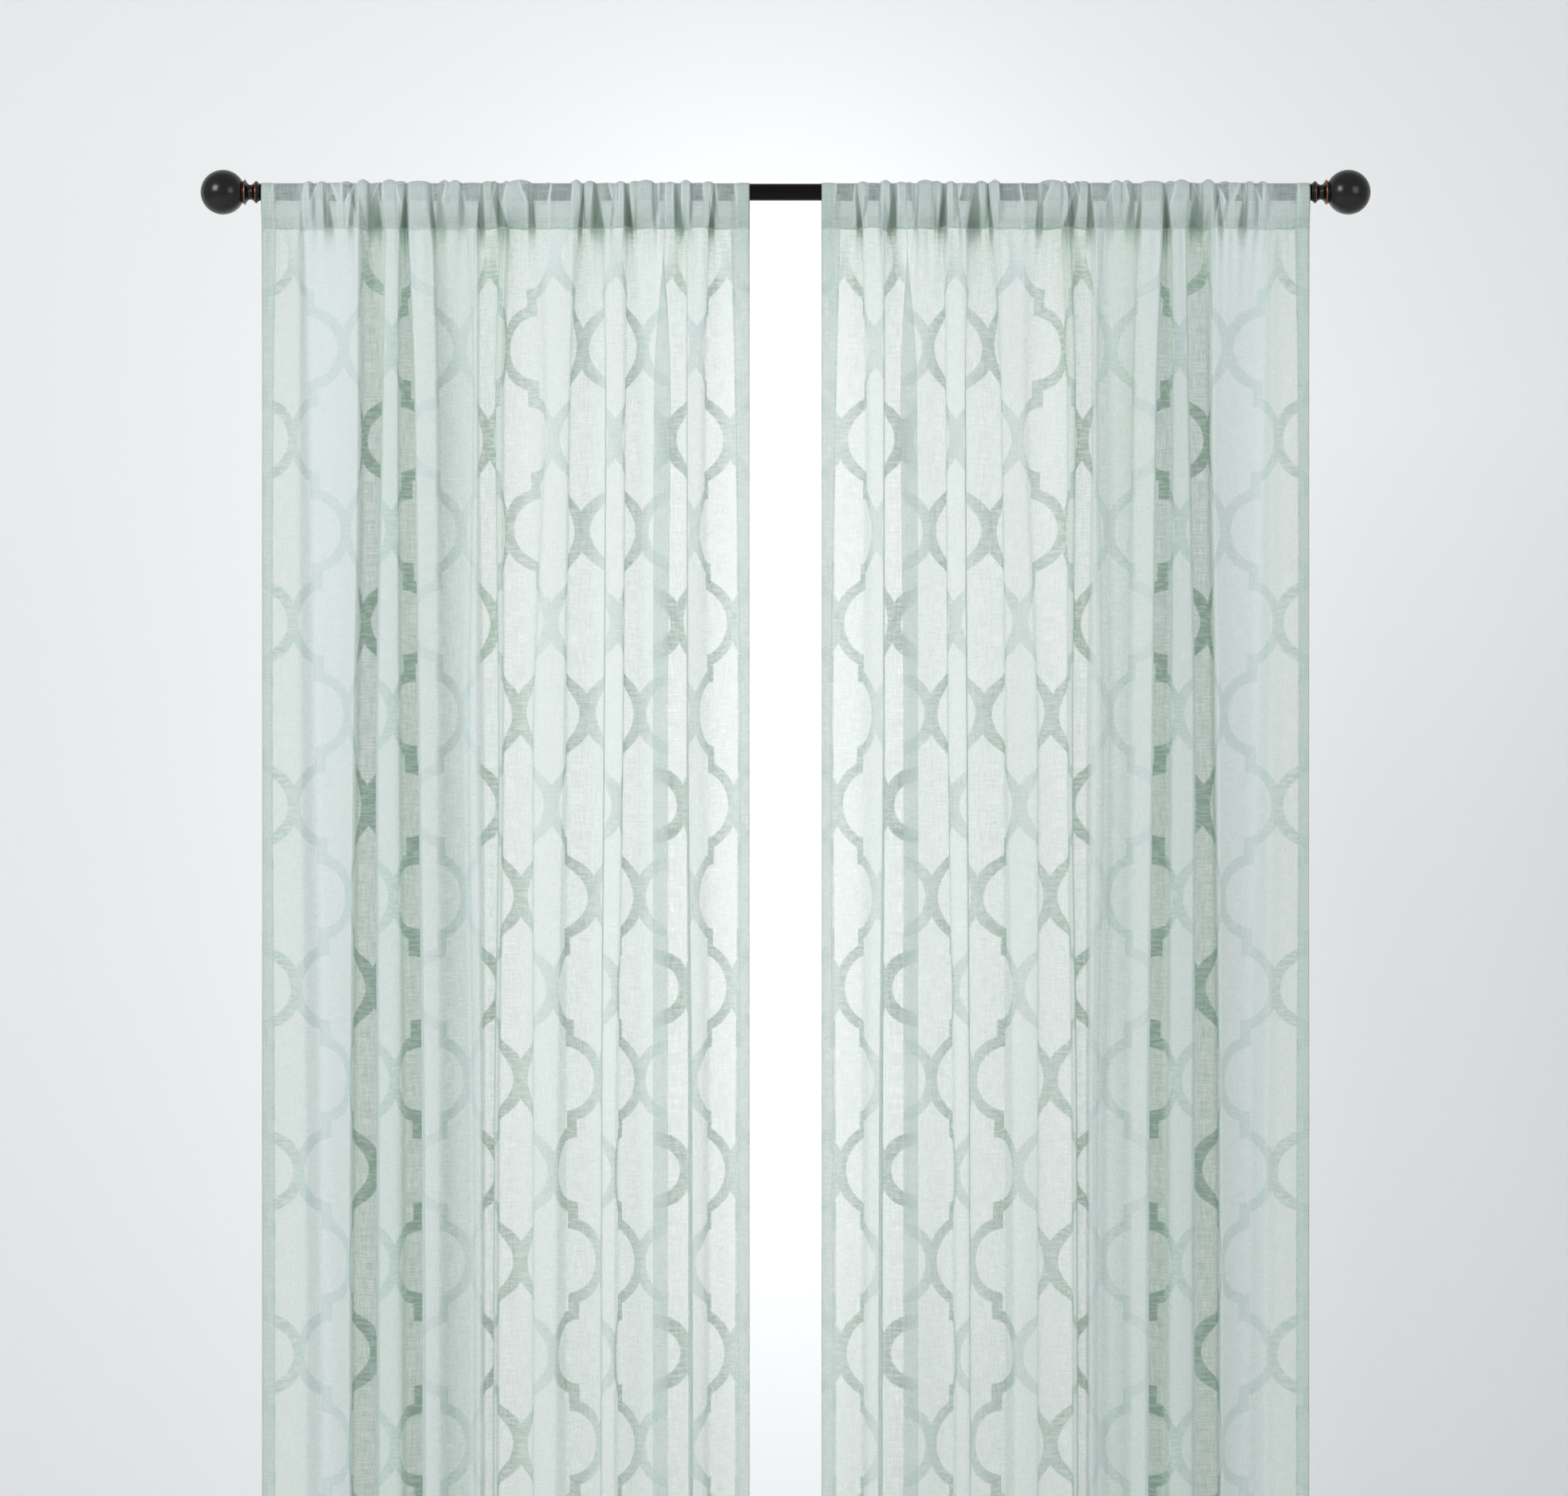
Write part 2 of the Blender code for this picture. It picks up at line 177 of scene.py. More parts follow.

# A slot between puffs, in millimetres, where the cloth is drawn in tight and painted shade darkens it: its
# middle over the rod and in the seam, half its width, and how tightly it is drawn from 0 to 1, which also
# sets how dark the painted shade is.
Slot = namedtuple("Slot", "at_rod at_seam half_width tight")
SLOTS = (
    Slot(73, 73, 2.5, 0.35),
    Slot(89, 93, 5.0, 0.80),
    Slot(128, 123, 3.0, 0.70),
    Slot(149, 149, 2.5, 0.60),
    Slot(157, 156, 7.5, 0.75),
    Slot(200, 197, 4.5, 1.00),
    Slot(233, 237, 3.0, 0.80),
    Slot(246, 247, 5.5, 0.55),
    Slot(277, 276, 5.0, 0.35),
    Slot(304, 302, 4.5, 1.00),
    Slot(321, 333, 6.0, 0.95),
    Slot(372, 373, 4.0, 0.90),
    Slot(444, 439, 2.2, 0.95),
    Slot(460, 463, 7.5, 1.00),
    Slot(487, 482, 1.6, 0.50),
    Slot(504, 506, 5.0, 1.00),
    Slot(516, 516, 1.5, 0.50),
    Slot(540, 543, 2.0, 0.50),
    Slot(573, 576, 5.0, 0.95),
    Slot(592, 592, 2.0, 0.40),
    Slot(625, 620, 3.2, 0.90),
)

# How much stronger than its table row a slot is, how much wider it is in the seam, how much of that it
# loses up to the rod, and how much it eases up to the rod.
SLOT_STRENGTH = 1.2
SLOT_SPREAD = 1.75
SLOT_NARROWING = 1.0
SLOT_EASING = 0.35

# A stretch of the pocket that lies flat on the rod and lets it show, in millimetres from the outer edge:
# where it starts and ends level with the rod's top, and level with its underside.
Window = namedtuple("Window", "start_high end_high start_low end_low")
WINDOWS = (
    Window(17, 59, 17, 56),
    Window(65, 78, 66, 68),
    Window(89, 95, 92, 105),
    Window(112, 129, 112, 117),
    Window(163, 167, 153, 167),
    Window(186, 198, 192, 200),
    Window(233, 255, 234, 249),
    Window(272, 301, 281, 301),
    Window(325, 339, 319, 333),
    Window(355, 370, 366, 371),
    Window(374, 399, 373, 395),
    Window(401, 430, 398, 427),
    Window(458, 478, 456, 484),
    Window(489, 493, 490, 492),
    Window(499, 507, 500, 509),
    Window(549, 557, 548, 556),
    Window(569, 579, 568, 579),
    Window(590, 608, 592, 610),
    Window(627, 652, 629, 654),
)

# Where such a stretch ends, in millimetres: the width of its edge, how far off the middle of the painted
# highlight on the rim beside it is, and half the highlight's width.
WINDOW_EDGE = 1.6
RIM_AWAY = 1.2
RIM_HALF_WIDTH = 2.2

# A slow wave over the cloth: its length along the cloth and down the drop in metres, its height in
# millimetres and its start in turns.
Wave = namedtuple("Wave", "along drop height start")
WAVES = (
    Wave(0.061, 1.70, 0.55, 0.10),
    Wave(0.043, -2.30, 0.40, 0.45),
    Wave(0.094, 0.90, 0.70, 0.72),
    Wave(0.170, -0.62, 0.80, 0.31),
    Wave(0.029, 3.10, 0.25, 0.87),
)

# Turned places on the finial: how far along its axis from the ball's centre towards the rod, and radius.
Turned = namedtuple("Turned", "along radius")
FLANGE = (
    Turned(0.0264, 0.0162),
    Turned(0.0270, 0.0154),
    Turned(0.0276, 0.0150),
    Turned(0.0283, 0.0153),
    Turned(0.0292, 0.0169),
    Turned(0.0297, 0.0174),
    Turned(0.0301, 0.0176),
    Turned(0.0307, 0.0175),
    Turned(0.0313, 0.0170),
)
NECK = Turned(0.0378, 0.0103)
BEAD = (
    Turned(0.0444, 0.0148),
    Turned(0.0451, 0.0153),
    Turned(0.0458, 0.0155),
    Turned(0.0465, 0.0154),
    Turned(0.0470, 0.0150),
    Turned(0.0490, 0.0130),
    Turned(0.0503, 0.0122),
)
FINIAL_SEAT = 0.0510

# Rings of the finial rubbed to copper: how far from the ball's centre towards the rod, and half the width.
Rubbed = namedtuple("Rubbed", "along half_width")
RUBBED = (
    Rubbed(0.0299, 0.0011),
    Rubbed(0.0451, 0.0004),
)

# One stitch, and the distance from one stitch to the next.
STITCH_LENGTH = 0.0026
STITCH_WIDTH = 0.0005
STITCH_HEIGHT = 0.0004
STITCH_LIFT = 0.0003
STITCH_PITCH = 0.0042

# How much each look adds to what one layer hides, and how strongly it colours the cloth.
GRAIN_COVER = 0.24
GRAIN_IN_FOLDS = 0.14
GRAIN_WHERE_MUTED = 0.16
OUTLINE_COVER = 0.06
TIGHT_COVER = 0.8
RIM_COVER = 0.35
SLUB_SHARE = 0.18
SLUB_IN_FOLDS = 0.46
OUTLINE_SHARE = 0.45
# The tight share paints shade into the slots, and the rim share paints a highlight on the folds' rims.
SLOT_SHADE_SHARE = 0.85
RIM_HIGHLIGHT_SHARE = 0.55

# Plain colours of the small things, as red, green, blue and alpha.
SLUB_COLOUR = (0.72, 0.82, 0.76, 1.0)
OUTLINE_COLOUR = (0.80, 0.90, 0.88, 1.0)
# A painted highlight on the folds' rims.
RIM_HIGHLIGHT_COLOUR = (0.82, 0.91, 0.90, 1.0)
THREAD_SHADE = (0.42, 0.58, 0.50, 1.0)
THREAD_LIGHT = (0.66, 0.78, 0.72, 1.0)
BROWN_PAINT = (0.010, 0.006, 0.005, 1.0)
NEUTRAL_LIGHT = (1.0, 1.0, 1.0)
COOL_LIGHT = (0.97, 0.99, 1.0)


class CurtainCloth(bpy.types.PropertyGroup):
    """Sizes and colours of the voile."""

    trellis_width: FloatProperty(
        name="Trellis width", description="Width of one woven trellis repeat",
        default=TRELLIS_WIDTH, min=0.02, unit="LENGTH")
    trellis_height: FloatProperty(
        name="Trellis height", description="Height of one woven trellis repeat",
        default=TRELLIS_HEIGHT, min=0.02, unit="LENGTH")
    trellis_start: FloatProperty(
        name="Trellis start", description="Distance of a row of cell middles below the rod's axis",
        default=0.2145, unit="LENGTH")
    outer_hem: FloatProperty(
        name="Outer side hem", description="Width of the hem on the outer edge",
        default=0.0165, min=0.0, unit="LENGTH")
    inner_hem: FloatProperty(
        name="Inner side hem", description="Width of the hem on the inner edge",
        default=0.0200, min=0.0, unit="LENGTH")
    bottom_hem: FloatProperty(
        name="Bottom hem", description="Height of the turned-up bottom hem",
        default=0.0762, min=0.0, unit="LENGTH")
    turned_under: FloatProperty(
        name="Turned under", description="Height of the band turned under inside the pocket's seam",
        default=0.0166, min=0.0, unit="LENGTH")
    layer_gap: FloatProperty(
        name="Layer gap", description="Space between two layers of a hem",
        default=0.0009, min=0.0001, unit="LENGTH")
    column_width: FloatProperty(
        name="Column width", description="Cloth between two columns of the mesh",
        default=0.0018, min=0.001, unit="LENGTH")
    row_height: FloatProperty(
        name="Row height", description="Drop between two rows of the mesh",
        default=0.0300, min=0.002, unit="LENGTH")
    roundness: FloatProperty(
        name="Roundness", description="How far the folds swell past their creases",
        default=0.45, min=0.0, max=1.0, subtype="FACTOR")
    # The ridge colours below are the cloth's colour with the light on the ridges painted in, paler and
    # bluer.
    ground_colour: FloatVectorProperty(
        name="Ground colour", description="Colour of the open weave on the folds' ridges",
        default=(0.70, 0.795, 0.775), size=3, min=0.0, max=1.0, subtype="COLOR")
    band_colour: FloatVectorProperty(
        name="Band colour", description="Colour of the dense trellis weave on the folds' ridges",
        default=(0.61, 0.735, 0.720), size=3, min=0.0, max=1.0, subtype="COLOR")
    # Painted shade: the deep colours are the cloth's colour made darker and greener where the folds lie in
    # shade.
    shaded_ground_colour: FloatVectorProperty(
        name="Deep ground colour", description="Colour of the open weave between the folds",
        default=(0.55, 0.675, 0.58), size=3, min=0.0, max=1.0, subtype="COLOR")
    shaded_band_colour: FloatVectorProperty(
        name="Deep band colour", description="Colour of the dense trellis weave between the folds",
        default=(0.40, 0.54, 0.44), size=3, min=0.0, max=1.0, subtype="COLOR")
    # Painted shade that darkens the slots between the pocket's puffs.
    slot_shade_colour: FloatVectorProperty(
        name="Tight colour", description="Colour of cloth drawn tight between the pocket's puffs",
        default=(0.15, 0.23, 0.17), size=3, min=0.0, max=1.0, subtype="COLOR")
    ground_cover: FloatProperty(
        name="Ground cover", description="How much one layer of the open weave hides on the ridges",
        default=0.62, min=0.0, max=1.0, subtype="FACTOR")
    deep_ground_cover: FloatProperty(
        name="Deep ground cover", description="How much one layer of the open weave hides between the folds",
        default=0.38, min=0.0, max=1.0, subtype="FACTOR")
    band_cover: FloatProperty(
        name="Band cover", description="How much one layer of the trellis weave hides",
        default=0.76, min=0.0, max=1.0, subtype="FACTOR")
    glow: FloatProperty(
        name="Glow", description="Share of the cloth's light that comes through from its other side",
        default=0.18, min=0.0, max=0.45, subtype="FACTOR")


class CurtainMetal(bpy.types.PropertyGroup):
    """Colours and fineness of the rod and its finials."""

    bronze: FloatVectorProperty(
        name="Bronze", description="Colour of the dark bronze paint",
        default=(0.0045, 0.0036, 0.0034), size=3, min=0.0, max=1.0, subtype="COLOR")
    copper: FloatVectorProperty(
        name="Copper", description="Colour rubbed bare on the turned edges",
        default=(0.42, 0.16, 0.07), size=3, min=0.0, max=1.0, subtype="COLOR")
    sides: IntProperty(
        name="Sides", description="Faces round the rod and the finials",
        default=96, min=16, max=256)


class CurtainStage(bpy.types.PropertyGroup):
    """The plain room that the curtain is shown in."""

    camera_distance: FloatProperty(
        name="Camera distance", description="From the camera to the rod's plane",
        default=8.0, min=1.0, unit="LENGTH")
    picture_width: FloatProperty(
        name="Picture width", description="Width that the picture takes in at the rod's plane",
        default=2.1626, min=0.5, unit="LENGTH")
    picture_side: FloatProperty(
        name="Picture side", description="The picture's middle, along the rod",
        default=-0.0022, unit="LENGTH")
    picture_drop: FloatProperty(
        name="Picture drop", description="The picture's middle, below the rod's axis",
        default=0.7667, unit="LENGTH")
    wall_gap: FloatProperty(
        name="Wall gap", description="From the rod's axis to the wall",
        default=1.60, min=0.06, unit="LENGTH")
    floor_gap: FloatProperty(
        name="Floor gap", description="From the hem to the floor",
        default=0.03, min=0.0, unit="LENGTH")
    wall_colour: FloatVectorProperty(
        name="Wall colour", description="Colour of the wall and the floor",
        default=(0.875, 0.880, 0.885), size=3, min=0.0, max=1.0, subtype="COLOR")


def smooth_curve(places, values, wanted, roundness=0.0):
    """Values at the wanted places of a smooth curve through the given points.

    With no roundness the curve never overshoots the points. values may hold a column for each of several
    curves that share their places.
    """
    places = np.asarray(places, float)
    values = np.asarray(values, float)
    wanted = np.asarray(wanted, float)
    wide = values.ndim > 1
    run = np.diff(places)[:, None] if wide else np.diff(places)
    slope = np.diff(values, axis=0) / run
    same_way = slope[:-1] * slope[1:] > 0
    weight_before = 2 * run[1:] + run[:-1]
    weight_after = run[1:] + 2 * run[:-1]
    before = np.where(same_way, slope[:-1], 1.0)
    after = np.where(same_way, slope[1:], 1.0)
    strict = (weight_before + weight_after) / (weight_before / before + weight_after / after)
    swelling = (slope[:-1] * run[1:] + slope[1:] * run[:-1]) / (run[1:] + run[:-1])
    tangent = np.zeros_like(values)
    tangent[1:-1] = (1 - roundness) * np.where(same_way, strict, 0.0) + roundness * swelling
    tangent[0] = slope[0]
    tangent[-1] = slope[-1]
    index = np.clip(np.searchsorted(places, wanted, side="right") - 1, 0, len(run) - 1)
    step = run[index]
    share = (wanted - places[index])[:, None] / step if wide else (wanted - places[index]) / step
    return (
        values[index] * (1 + 2 * share) * (1 - share) ** 2
        + tangent[index] * step * share * (1 - share) ** 2
        + values[index + 1] * share**2 * (3 - 2 * share)
        - tangent[index + 1] * step * share**2 * (1 - share)
    )


def ease(share):
    """A soft step from 0 to 1."""
    share = np.clip(share, 0, 1)
    return share * share * (3 - 2 * share)


def crease_column(name):
    """One column of the crease table."""
    return np.array([getattr(crease, name) for crease in CREASES], float)


def creases_at(heights):
    """Cloth, distance across and depth of every crease, with a row for each height."""
    cloth_high = crease_column("cloth_high")
    cloth_middle = crease_column("cloth_middle")
    cloth_low = crease_column("cloth_low")
    cloth_hem = cloth_low + HEM_DRIFT * (cloth_low - cloth_middle)
    at_middle = crease_column("at_middle") * MM
    at_low = crease_column("at_low") * MM
    at_hem = at_low + HEM_DRIFT * (at_low - at_middle)
    out = crease_column("out") * MM
    levels = (SEAM_Z, HIGH_Z, MIDDLE_Z, LOW_Z, HEM_Z)
    cloth = np.array([cloth_high, cloth_high, cloth_middle, cloth_low, cloth_hem])
    across = np.array([crease_column("seam") * MM, crease_column("at_high") * MM, at_middle, at_low, at_hem])
    depth = np.array([out * DEPTH_AT[level] for level in levels])
    drops = -np.array(levels)
    wanted = -np.asarray(heights, float)
    return [smooth_curve(drops, values, wanted) for values in (cloth, across, depth)]


def column_places(cloth):
    """Where the fine columns are: each crease's number, and fractions of it for those between."""
    places = []
    for number in range(len(CREASES) - 1):
        run = CREASES[number + 1].cloth_high - CREASES[number].cloth_high
        pieces = max(3, round(run * cloth.trellis_width / cloth.column_width))
        places += [number + step / pieces for step in range(pieces)]
    return np.array(places + [len(CREASES) - 1.0])


def hanging_rows(heights, places, roundness):
    """Cloth, distance across and depth at every column, with a row for each height."""
    before = np.minimum(places.astype(int), len(CREASES) - 2)
    part = places - before
    rows = []
    for cloth, across, out in zip(*creases_at(heights)):
        wanted = cloth[before] + part * (cloth[before + 1] - cloth[before])
        rows.append((
            wanted,
            smooth_curve(cloth, across, wanted, roundness),
            smooth_curve(cloth, out, wanted, roundness),
        ))
    return [np.array(kind) for kind in zip(*rows)]


def layer_offset(across, out):
    """Unit steps square to a row of cloth, towards the wall."""
    along_x = np.gradient(across)
    along_out = np.gradient(out)
    length = np.maximum(np.hypot(along_x, along_out), 1e-9)
    return along_out / length, -along_x / length


def bump_shape(distance, half_width):
    """A round bump, 1 in the middle and 0 past its half width."""
    share = np.clip(np.abs(distance) / half_width, 0, 1)
    return 0.5 + 0.5 * np.cos(math.pi * share)


def pillow_shape(distance, half_width):
    """A bump with a flat top and steep sides."""
    return ease((1 - np.abs(distance) / half_width) / PILLOW_SIDE)


def windows_at(across, share):
    """Where the pocket lies flat, and the painted highlight on the folds' rims beside those stretches, each
    from 0 to 1.

    share is 0 at the rod's underside and 1 at its top.
    """
    clear = np.zeros_like(across)
    rim = np.zeros_like(across)
    for window in WINDOWS:
        start = window.start_low + share * (window.start_high - window.start_low)
        end = window.end_low + share * (window.end_high - window.end_low)
        inside = np.minimum(across - start * MM, end * MM - across)
        clear = np.maximum(clear, ease(0.5 + inside / (WINDOW_EDGE * MM)))
        rim = np.maximum(rim, bump_shape(inside + RIM_AWAY * MM, RIM_HALF_WIDTH * MM))
    return clear, rim


def puffs_at(across, share):
    """How far the pocket stands off the rod in front and on top.

    share is 0 in the seam and 1 over the rod.
    """
    out = np.zeros_like(across)
    top = np.zeros_like(across)
    for puff in PUFFS:
        middle = (puff.at_seam + share * (puff.at_rod - puff.at_seam)) * MM
        shape = pillow_shape(across - middle, puff.half_width * MM * PUFF_SPREAD)
        out = np.maximum(out, puff.out * MM * shape)
        crown = bump_shape(across - middle, puff.half_width * MM * CROWN_SPREAD)
        top = np.maximum(top, puff.top * MM * crown)
    return out, top


def tightness_at(across, share):
    """How tightly the cloth is drawn in, from 0 to 1, which also sets how dark the slots' painted shade is.
    share is 0 in the seam and 1 over the rod.
    """
    tight = np.zeros_like(across)
    for slot in SLOTS:
        middle = (slot.at_seam + share * (slot.at_rod - slot.at_seam)) * MM
        half_width = slot.half_width * MM * (SLOT_SPREAD - SLOT_NARROWING * share)
        drawn = min(1.0, SLOT_STRENGTH * slot.tight)
        tight = np.maximum(tight, drawn * pillow_shape(across - middle, half_width))
    return tight * (1 - SLOT_EASING * share)


def wave_depth(along, height):
    """The slow uneven waves of the hanging cloth."""
    depth = np.zeros_like(along)
    for wave in WAVES:
        turns = along / wave.along + height / wave.drop + wave.start
        depth += wave.height * MM * np.sin(2 * math.pi * turns)
    return depth


class PanelShape:
    """Rows of points of the left panel, from the hem's raw edge down, up the front and over the rod.

    Every point also keeps its place on the flat cloth and five looks from 0 to 1: how tight it is drawn in,
    which also paints shade into the pocket's slots, how many layers it looks like, how deep in the folds it
    lies, which paints shade between the folds, how muted its trellis is, partly for the light on the ridges,
    and how much painted highlight of a fold's rim it has.
    """

    LOOKS = ("tight", "layered", "deep", "muted", "rim")
    PUCKER_WAVE = 0.0165
    PUCKER_HEIGHT = 0.0015
    PUCKER_FADE = 0.060
    PUCKER_START = 0.006
    PUCKER_DRIFT = 0.35
    PUCKER_DRIFT_TURN = 47
    WAVE_FADE = 0.10
    POCKET_CLEARANCE = 0.0006
    FRONT_STEPS = 12
    OVER_STEPS = 16
    BACK_STEPS = 8
    TURNED_STEPS = 3
    HEM_STEPS = 6
    HEM_COLUMNS = 5
    HEM_FADE = 0.001
    HEM_LAYERS = 0.12
    # The side hems get some of the painted shade of the folds.
    HEM_DEEP = 0.30
    HEM_MUTED = 0.7
    BOTTOM_HEM_MUTED = 0.5
    FINE_ROWS = 18
    FINE_DROP = 0.126
    FINE_GAP = 0.004
    FEWEST_LAYERS = 0.25
    MOST_LAYERS = 4.5
    EDGE_LAYERS = 0.16
    MUTED_IN_POCKET = 0.85
    LIT_RIDGE_MUTING = 0.15
    MUTED_STRETCH = 0.35
    STRETCH_START = 2.35
    STRETCH_END = 3.05
    MUTED_FADE = 0.085
    SEAM_WAVE = 0.0011
    SEAM_WAVE_FADE = 0.025
    SLOT_BELOW_SEAM = 0.6
    SLOT_FADE = 0.014
    FULLER_AT_SEAM = 0.6
    FULLER_FADE = 0.075
    OVER_ROD_FADE = 0.010
    CLEAR_BELOW_ROD = 0.35
    CLEAR_LAYERS = 1.12
    POCKET_LAYERS = 1.7
    POCKET_LAYERS_ABOVE = 0.9
    BACK_LAYERS = 1.2
    # The pocket's back and the band turned under get painted shade.
    BACK_DEEP = 0.4
    TURNED_DEEP = 0.6
    BACK_PUFF = 0.45

    def __init__(self, cloth):
        self.cloth = cloth
        self.places = column_places(cloth)
        self.inner_edge = PANEL_CLOTH_WIDTH * cloth.trellis_width
        self.radius = ROD_RADIUS + self.POCKET_CLEARANCE
        self.rows = []
        self.build()

    def layers_at(self, along, across, out, layers):
        """How many layers each place looks like, from 0 for the fewest to 1 for the most."""
        step_across = np.abs(np.gradient(across))
        arc = np.maximum(np.hypot(np.gradient(across), np.gradient(out)), np.gradient(along))
        edge_on = arc / np.maximum(step_across, arc / self.MOST_LAYERS)
        edge_on = np.convolve(np.pad(edge_on, 1, mode="edge"), (0.25, 0.5, 0.25), mode="valid")
        layers = layers * (1 + self.EDGE_LAYERS * (edge_on - 1))
        return np.clip((layers - self.FEWEST_LAYERS) / (self.MOST_LAYERS - self.FEWEST_LAYERS), 0, 1)

    def add_row(self, along, across, out, height, down, layers, tight=0.0, deep=0.0, muted=0.0, rim=0.0):
        """Keep a row with its two side hems. down is the cloth between the row and the rod's axis."""
        cloth = self.cloth
        in_outer = ease((cloth.outer_hem - along) / self.HEM_FADE)
        in_inner = ease((along - self.inner_edge + cloth.inner_hem) / self.HEM_FADE)
        in_hem = np.maximum(in_outer, in_inner)
        layered = self.layers_at(along, across, out, layers * (1 + self.HEM_LAYERS * in_hem))
        deep = deep * (1 - in_hem) + self.HEM_DEEP * in_hem
        muted = np.maximum(muted, self.HEM_MUTED * in_hem)
        kinds = [across, out, height, tight, layered, deep, muted, rim]
        kinds = np.array([np.broadcast_to(np.asarray(kind, float), across.shape) for kind in kinds])
        step = np.zeros_like(kinds)
        step[:2] = layer_offset(across, out)
        sides = []
        for hem, edge, sign in ((cloth.outer_hem, 0.0, 1), (cloth.inner_hem, self.inner_edge, -1)):
            back = np.linspace(hem, 0.0, self.HEM_COLUMNS + 1)[:-1]
            at = edge + sign * back
            lift = np.minimum(cloth.layer_gap, back / 2)
            side = [np.interp(at, along, kind) + lift * np.interp(at, along, push)
                    for kind, push in zip(kinds, step)]
            sides.append((np.array(side), edge - sign * back))
        (first, first_along), (last, last_along) = sides
        kinds = np.concatenate([first, kinds, last[:, ::-1]], axis=1)
        along = np.concatenate([first_along, along, last_along[::-1]])
        self.rows.append((kinds, np.stack([along, np.full_like(along, down)])))

    def hang(self, heights):
        """Cloth, distance across and depth of the hanging rows."""
        along, across, out = hanging_rows(heights, self.places, self.cloth.roundness)
        along = along * self.cloth.trellis_width
        column = np.asarray(heights)[:, None]
        below = SEAM_Z - column
        out = out + ease(below / self.WAVE_FADE) * wave_depth(along, column)
        drift = self.PUCKER_DRIFT * np.sin(along * self.PUCKER_DRIFT_TURN)
        pucker = np.sin(2 * math.pi * (along / self.PUCKER_WAVE + drift))
        near_seam = np.exp(-below / self.PUCKER_FADE) * ease(below / self.PUCKER_START)
        out = out + self.PUCKER_HEIGHT * pucker * near_seam
        return along, across, out

    def look_column(self, name):
        """One of the crease table's looks at every column of the mesh."""
        return np.interp(self.places, np.arange(len(CREASES)), crease_column(name))

    def seam_wave(self, across, share):
        """How far the seam and what is near it rise and dip."""
        turns = across / 0.083 + 0.3 * np.sin(across * 41)
        waves = np.sin(2 * math.pi * turns) + 0.5 * np.sin(2 * math.pi * across / 0.031)
        return self.SEAM_WAVE * share * waves

    def build(self):
        """Work out every row."""
        cloth = self.cloth
        deep = self.look_column("deep") / 100
        layers = self.look_column("layers")
        hem_heights = np.linspace(HEM_Z + cloth.bottom_hem, HEM_Z, self.HEM_STEPS + 1)[:-1]
        for along, across, out, height in zip(*self.hang(hem_heights), hem_heights):
            step_x, step_out = layer_offset(across, out)
            self.add_row(
                along, across + cloth.layer_gap * step_x, out + cloth.layer_gap * step_out, height,
                height - 2 * (height - HEM_Z), layers, deep=deep, muted=self.BOTTOM_HEM_MUTED)

        self.front_z = self.front_heights()
        cloth_place = self.look_column("cloth_middle")
        in_stretch = (cloth_place > self.STRETCH_START) & (cloth_place < self.STRETCH_END)
        # Painted light: the ridges' trellis is muted as if washed out by the light falling on them.
        on_folds = self.LIT_RIDGE_MUTING * (1 - deep) + self.MUTED_STRETCH * in_stretch
        for along, across, out, height in zip(*self.hang(self.front_z), self.front_z):
            below = SEAM_Z - height
            faint = self.MUTED_IN_POCKET * (1 - float(ease(below / self.MUTED_FADE)))
            tight = self.SLOT_BELOW_SEAM * tightness_at(across, 0.0) * math.exp(-below / self.SLOT_FADE)
            fuller = layers + self.FULLER_AT_SEAM * math.exp(-below / self.FULLER_FADE)
            rise = self.seam_wave(across, math.exp(-below / self.SEAM_WAVE_FADE))
            self.add_row(
                along, across, out, height + rise, height, fuller, tight, deep, np.maximum(faint, on_folds))
        self.along, self.seam_across, self.seam_out = along, across, out
        self.build_pocket(deep)

    def front_heights(self):
        """Heights of the front's rows, from the hem to the seam, closer together near the seam."""
        coarse = np.arange(HEM_Z, SEAM_Z - self.FINE_DROP - self.FINE_GAP, self.cloth.row_height)
        fine = SEAM_Z - np.linspace(self.FINE_DROP, 0.0, self.FINE_ROWS)
        return np.concatenate([coarse, fine])

    def pocket_front(self, share):
        """Depth of the pocket's front, from 0 in the seam to 1 level with the rod's axis."""
        blend = float(ease(share ** 0.75))
        puff, _ = puffs_at(self.seam_across, share)
        swell = 0.5 * puff * math.sin(math.pi * share)
        return (1 - blend) * self.seam_out + blend * (self.radius + puff) + swell

    def pocket_back(self, share):
        """Distance across and depth of the pocket's back, from 0 in the seam to 1 level with the axis."""
        blend = float(ease((1 - share) ** 1.4))
        step_x, step_out = layer_offset(self.seam_across, self.seam_out)
        puff, _ = puffs_at(self.seam_across, 1.0)
        across = self.seam_across + 2 * self.cloth.layer_gap * blend * step_x
        hung = self.seam_out + 2 * self.cloth.layer_gap * step_out
        return across, blend * hung - (1 - blend) * (self.radius + self.BACK_PUFF * puff[::-1])

    def pocket_looks(self, share, height):
        """The layers and the painted highlights on the rims of the pocket's front, at a height level with
        the rod or below.
        """
        clear, rim = windows_at(self.seam_across, 0.5 + 0.5 * min(1.0, max(-1.0, height / ROD_RADIUS)))
        over_rod = float(ease(1 + (height + ROD_RADIUS) / self.OVER_ROD_FADE))
        shown = self.CLEAR_BELOW_ROD + (1 - self.CLEAR_BELOW_ROD) * over_rod
        clear = clear * shown
        in_puffs = self.POCKET_LAYERS + self.POCKET_LAYERS_ABOVE * share
        layers = (1 - clear) * in_puffs + clear * self.CLEAR_LAYERS
        return layers, clear, rim * shown

    def build_pocket(self, seam_deep):
        """The front of the pocket, over the rod, down the back and turned under inside the seam."""
        along = self.along
        across = self.seam_across
        muted = self.MUTED_IN_POCKET
        for step in range(1, self.FRONT_STEPS + 1):
            share = step / self.FRONT_STEPS
            height = SEAM_Z * (1 - share)
            layers, clear, rim = self.pocket_looks(share, height)
            tight = tightness_at(across, share)
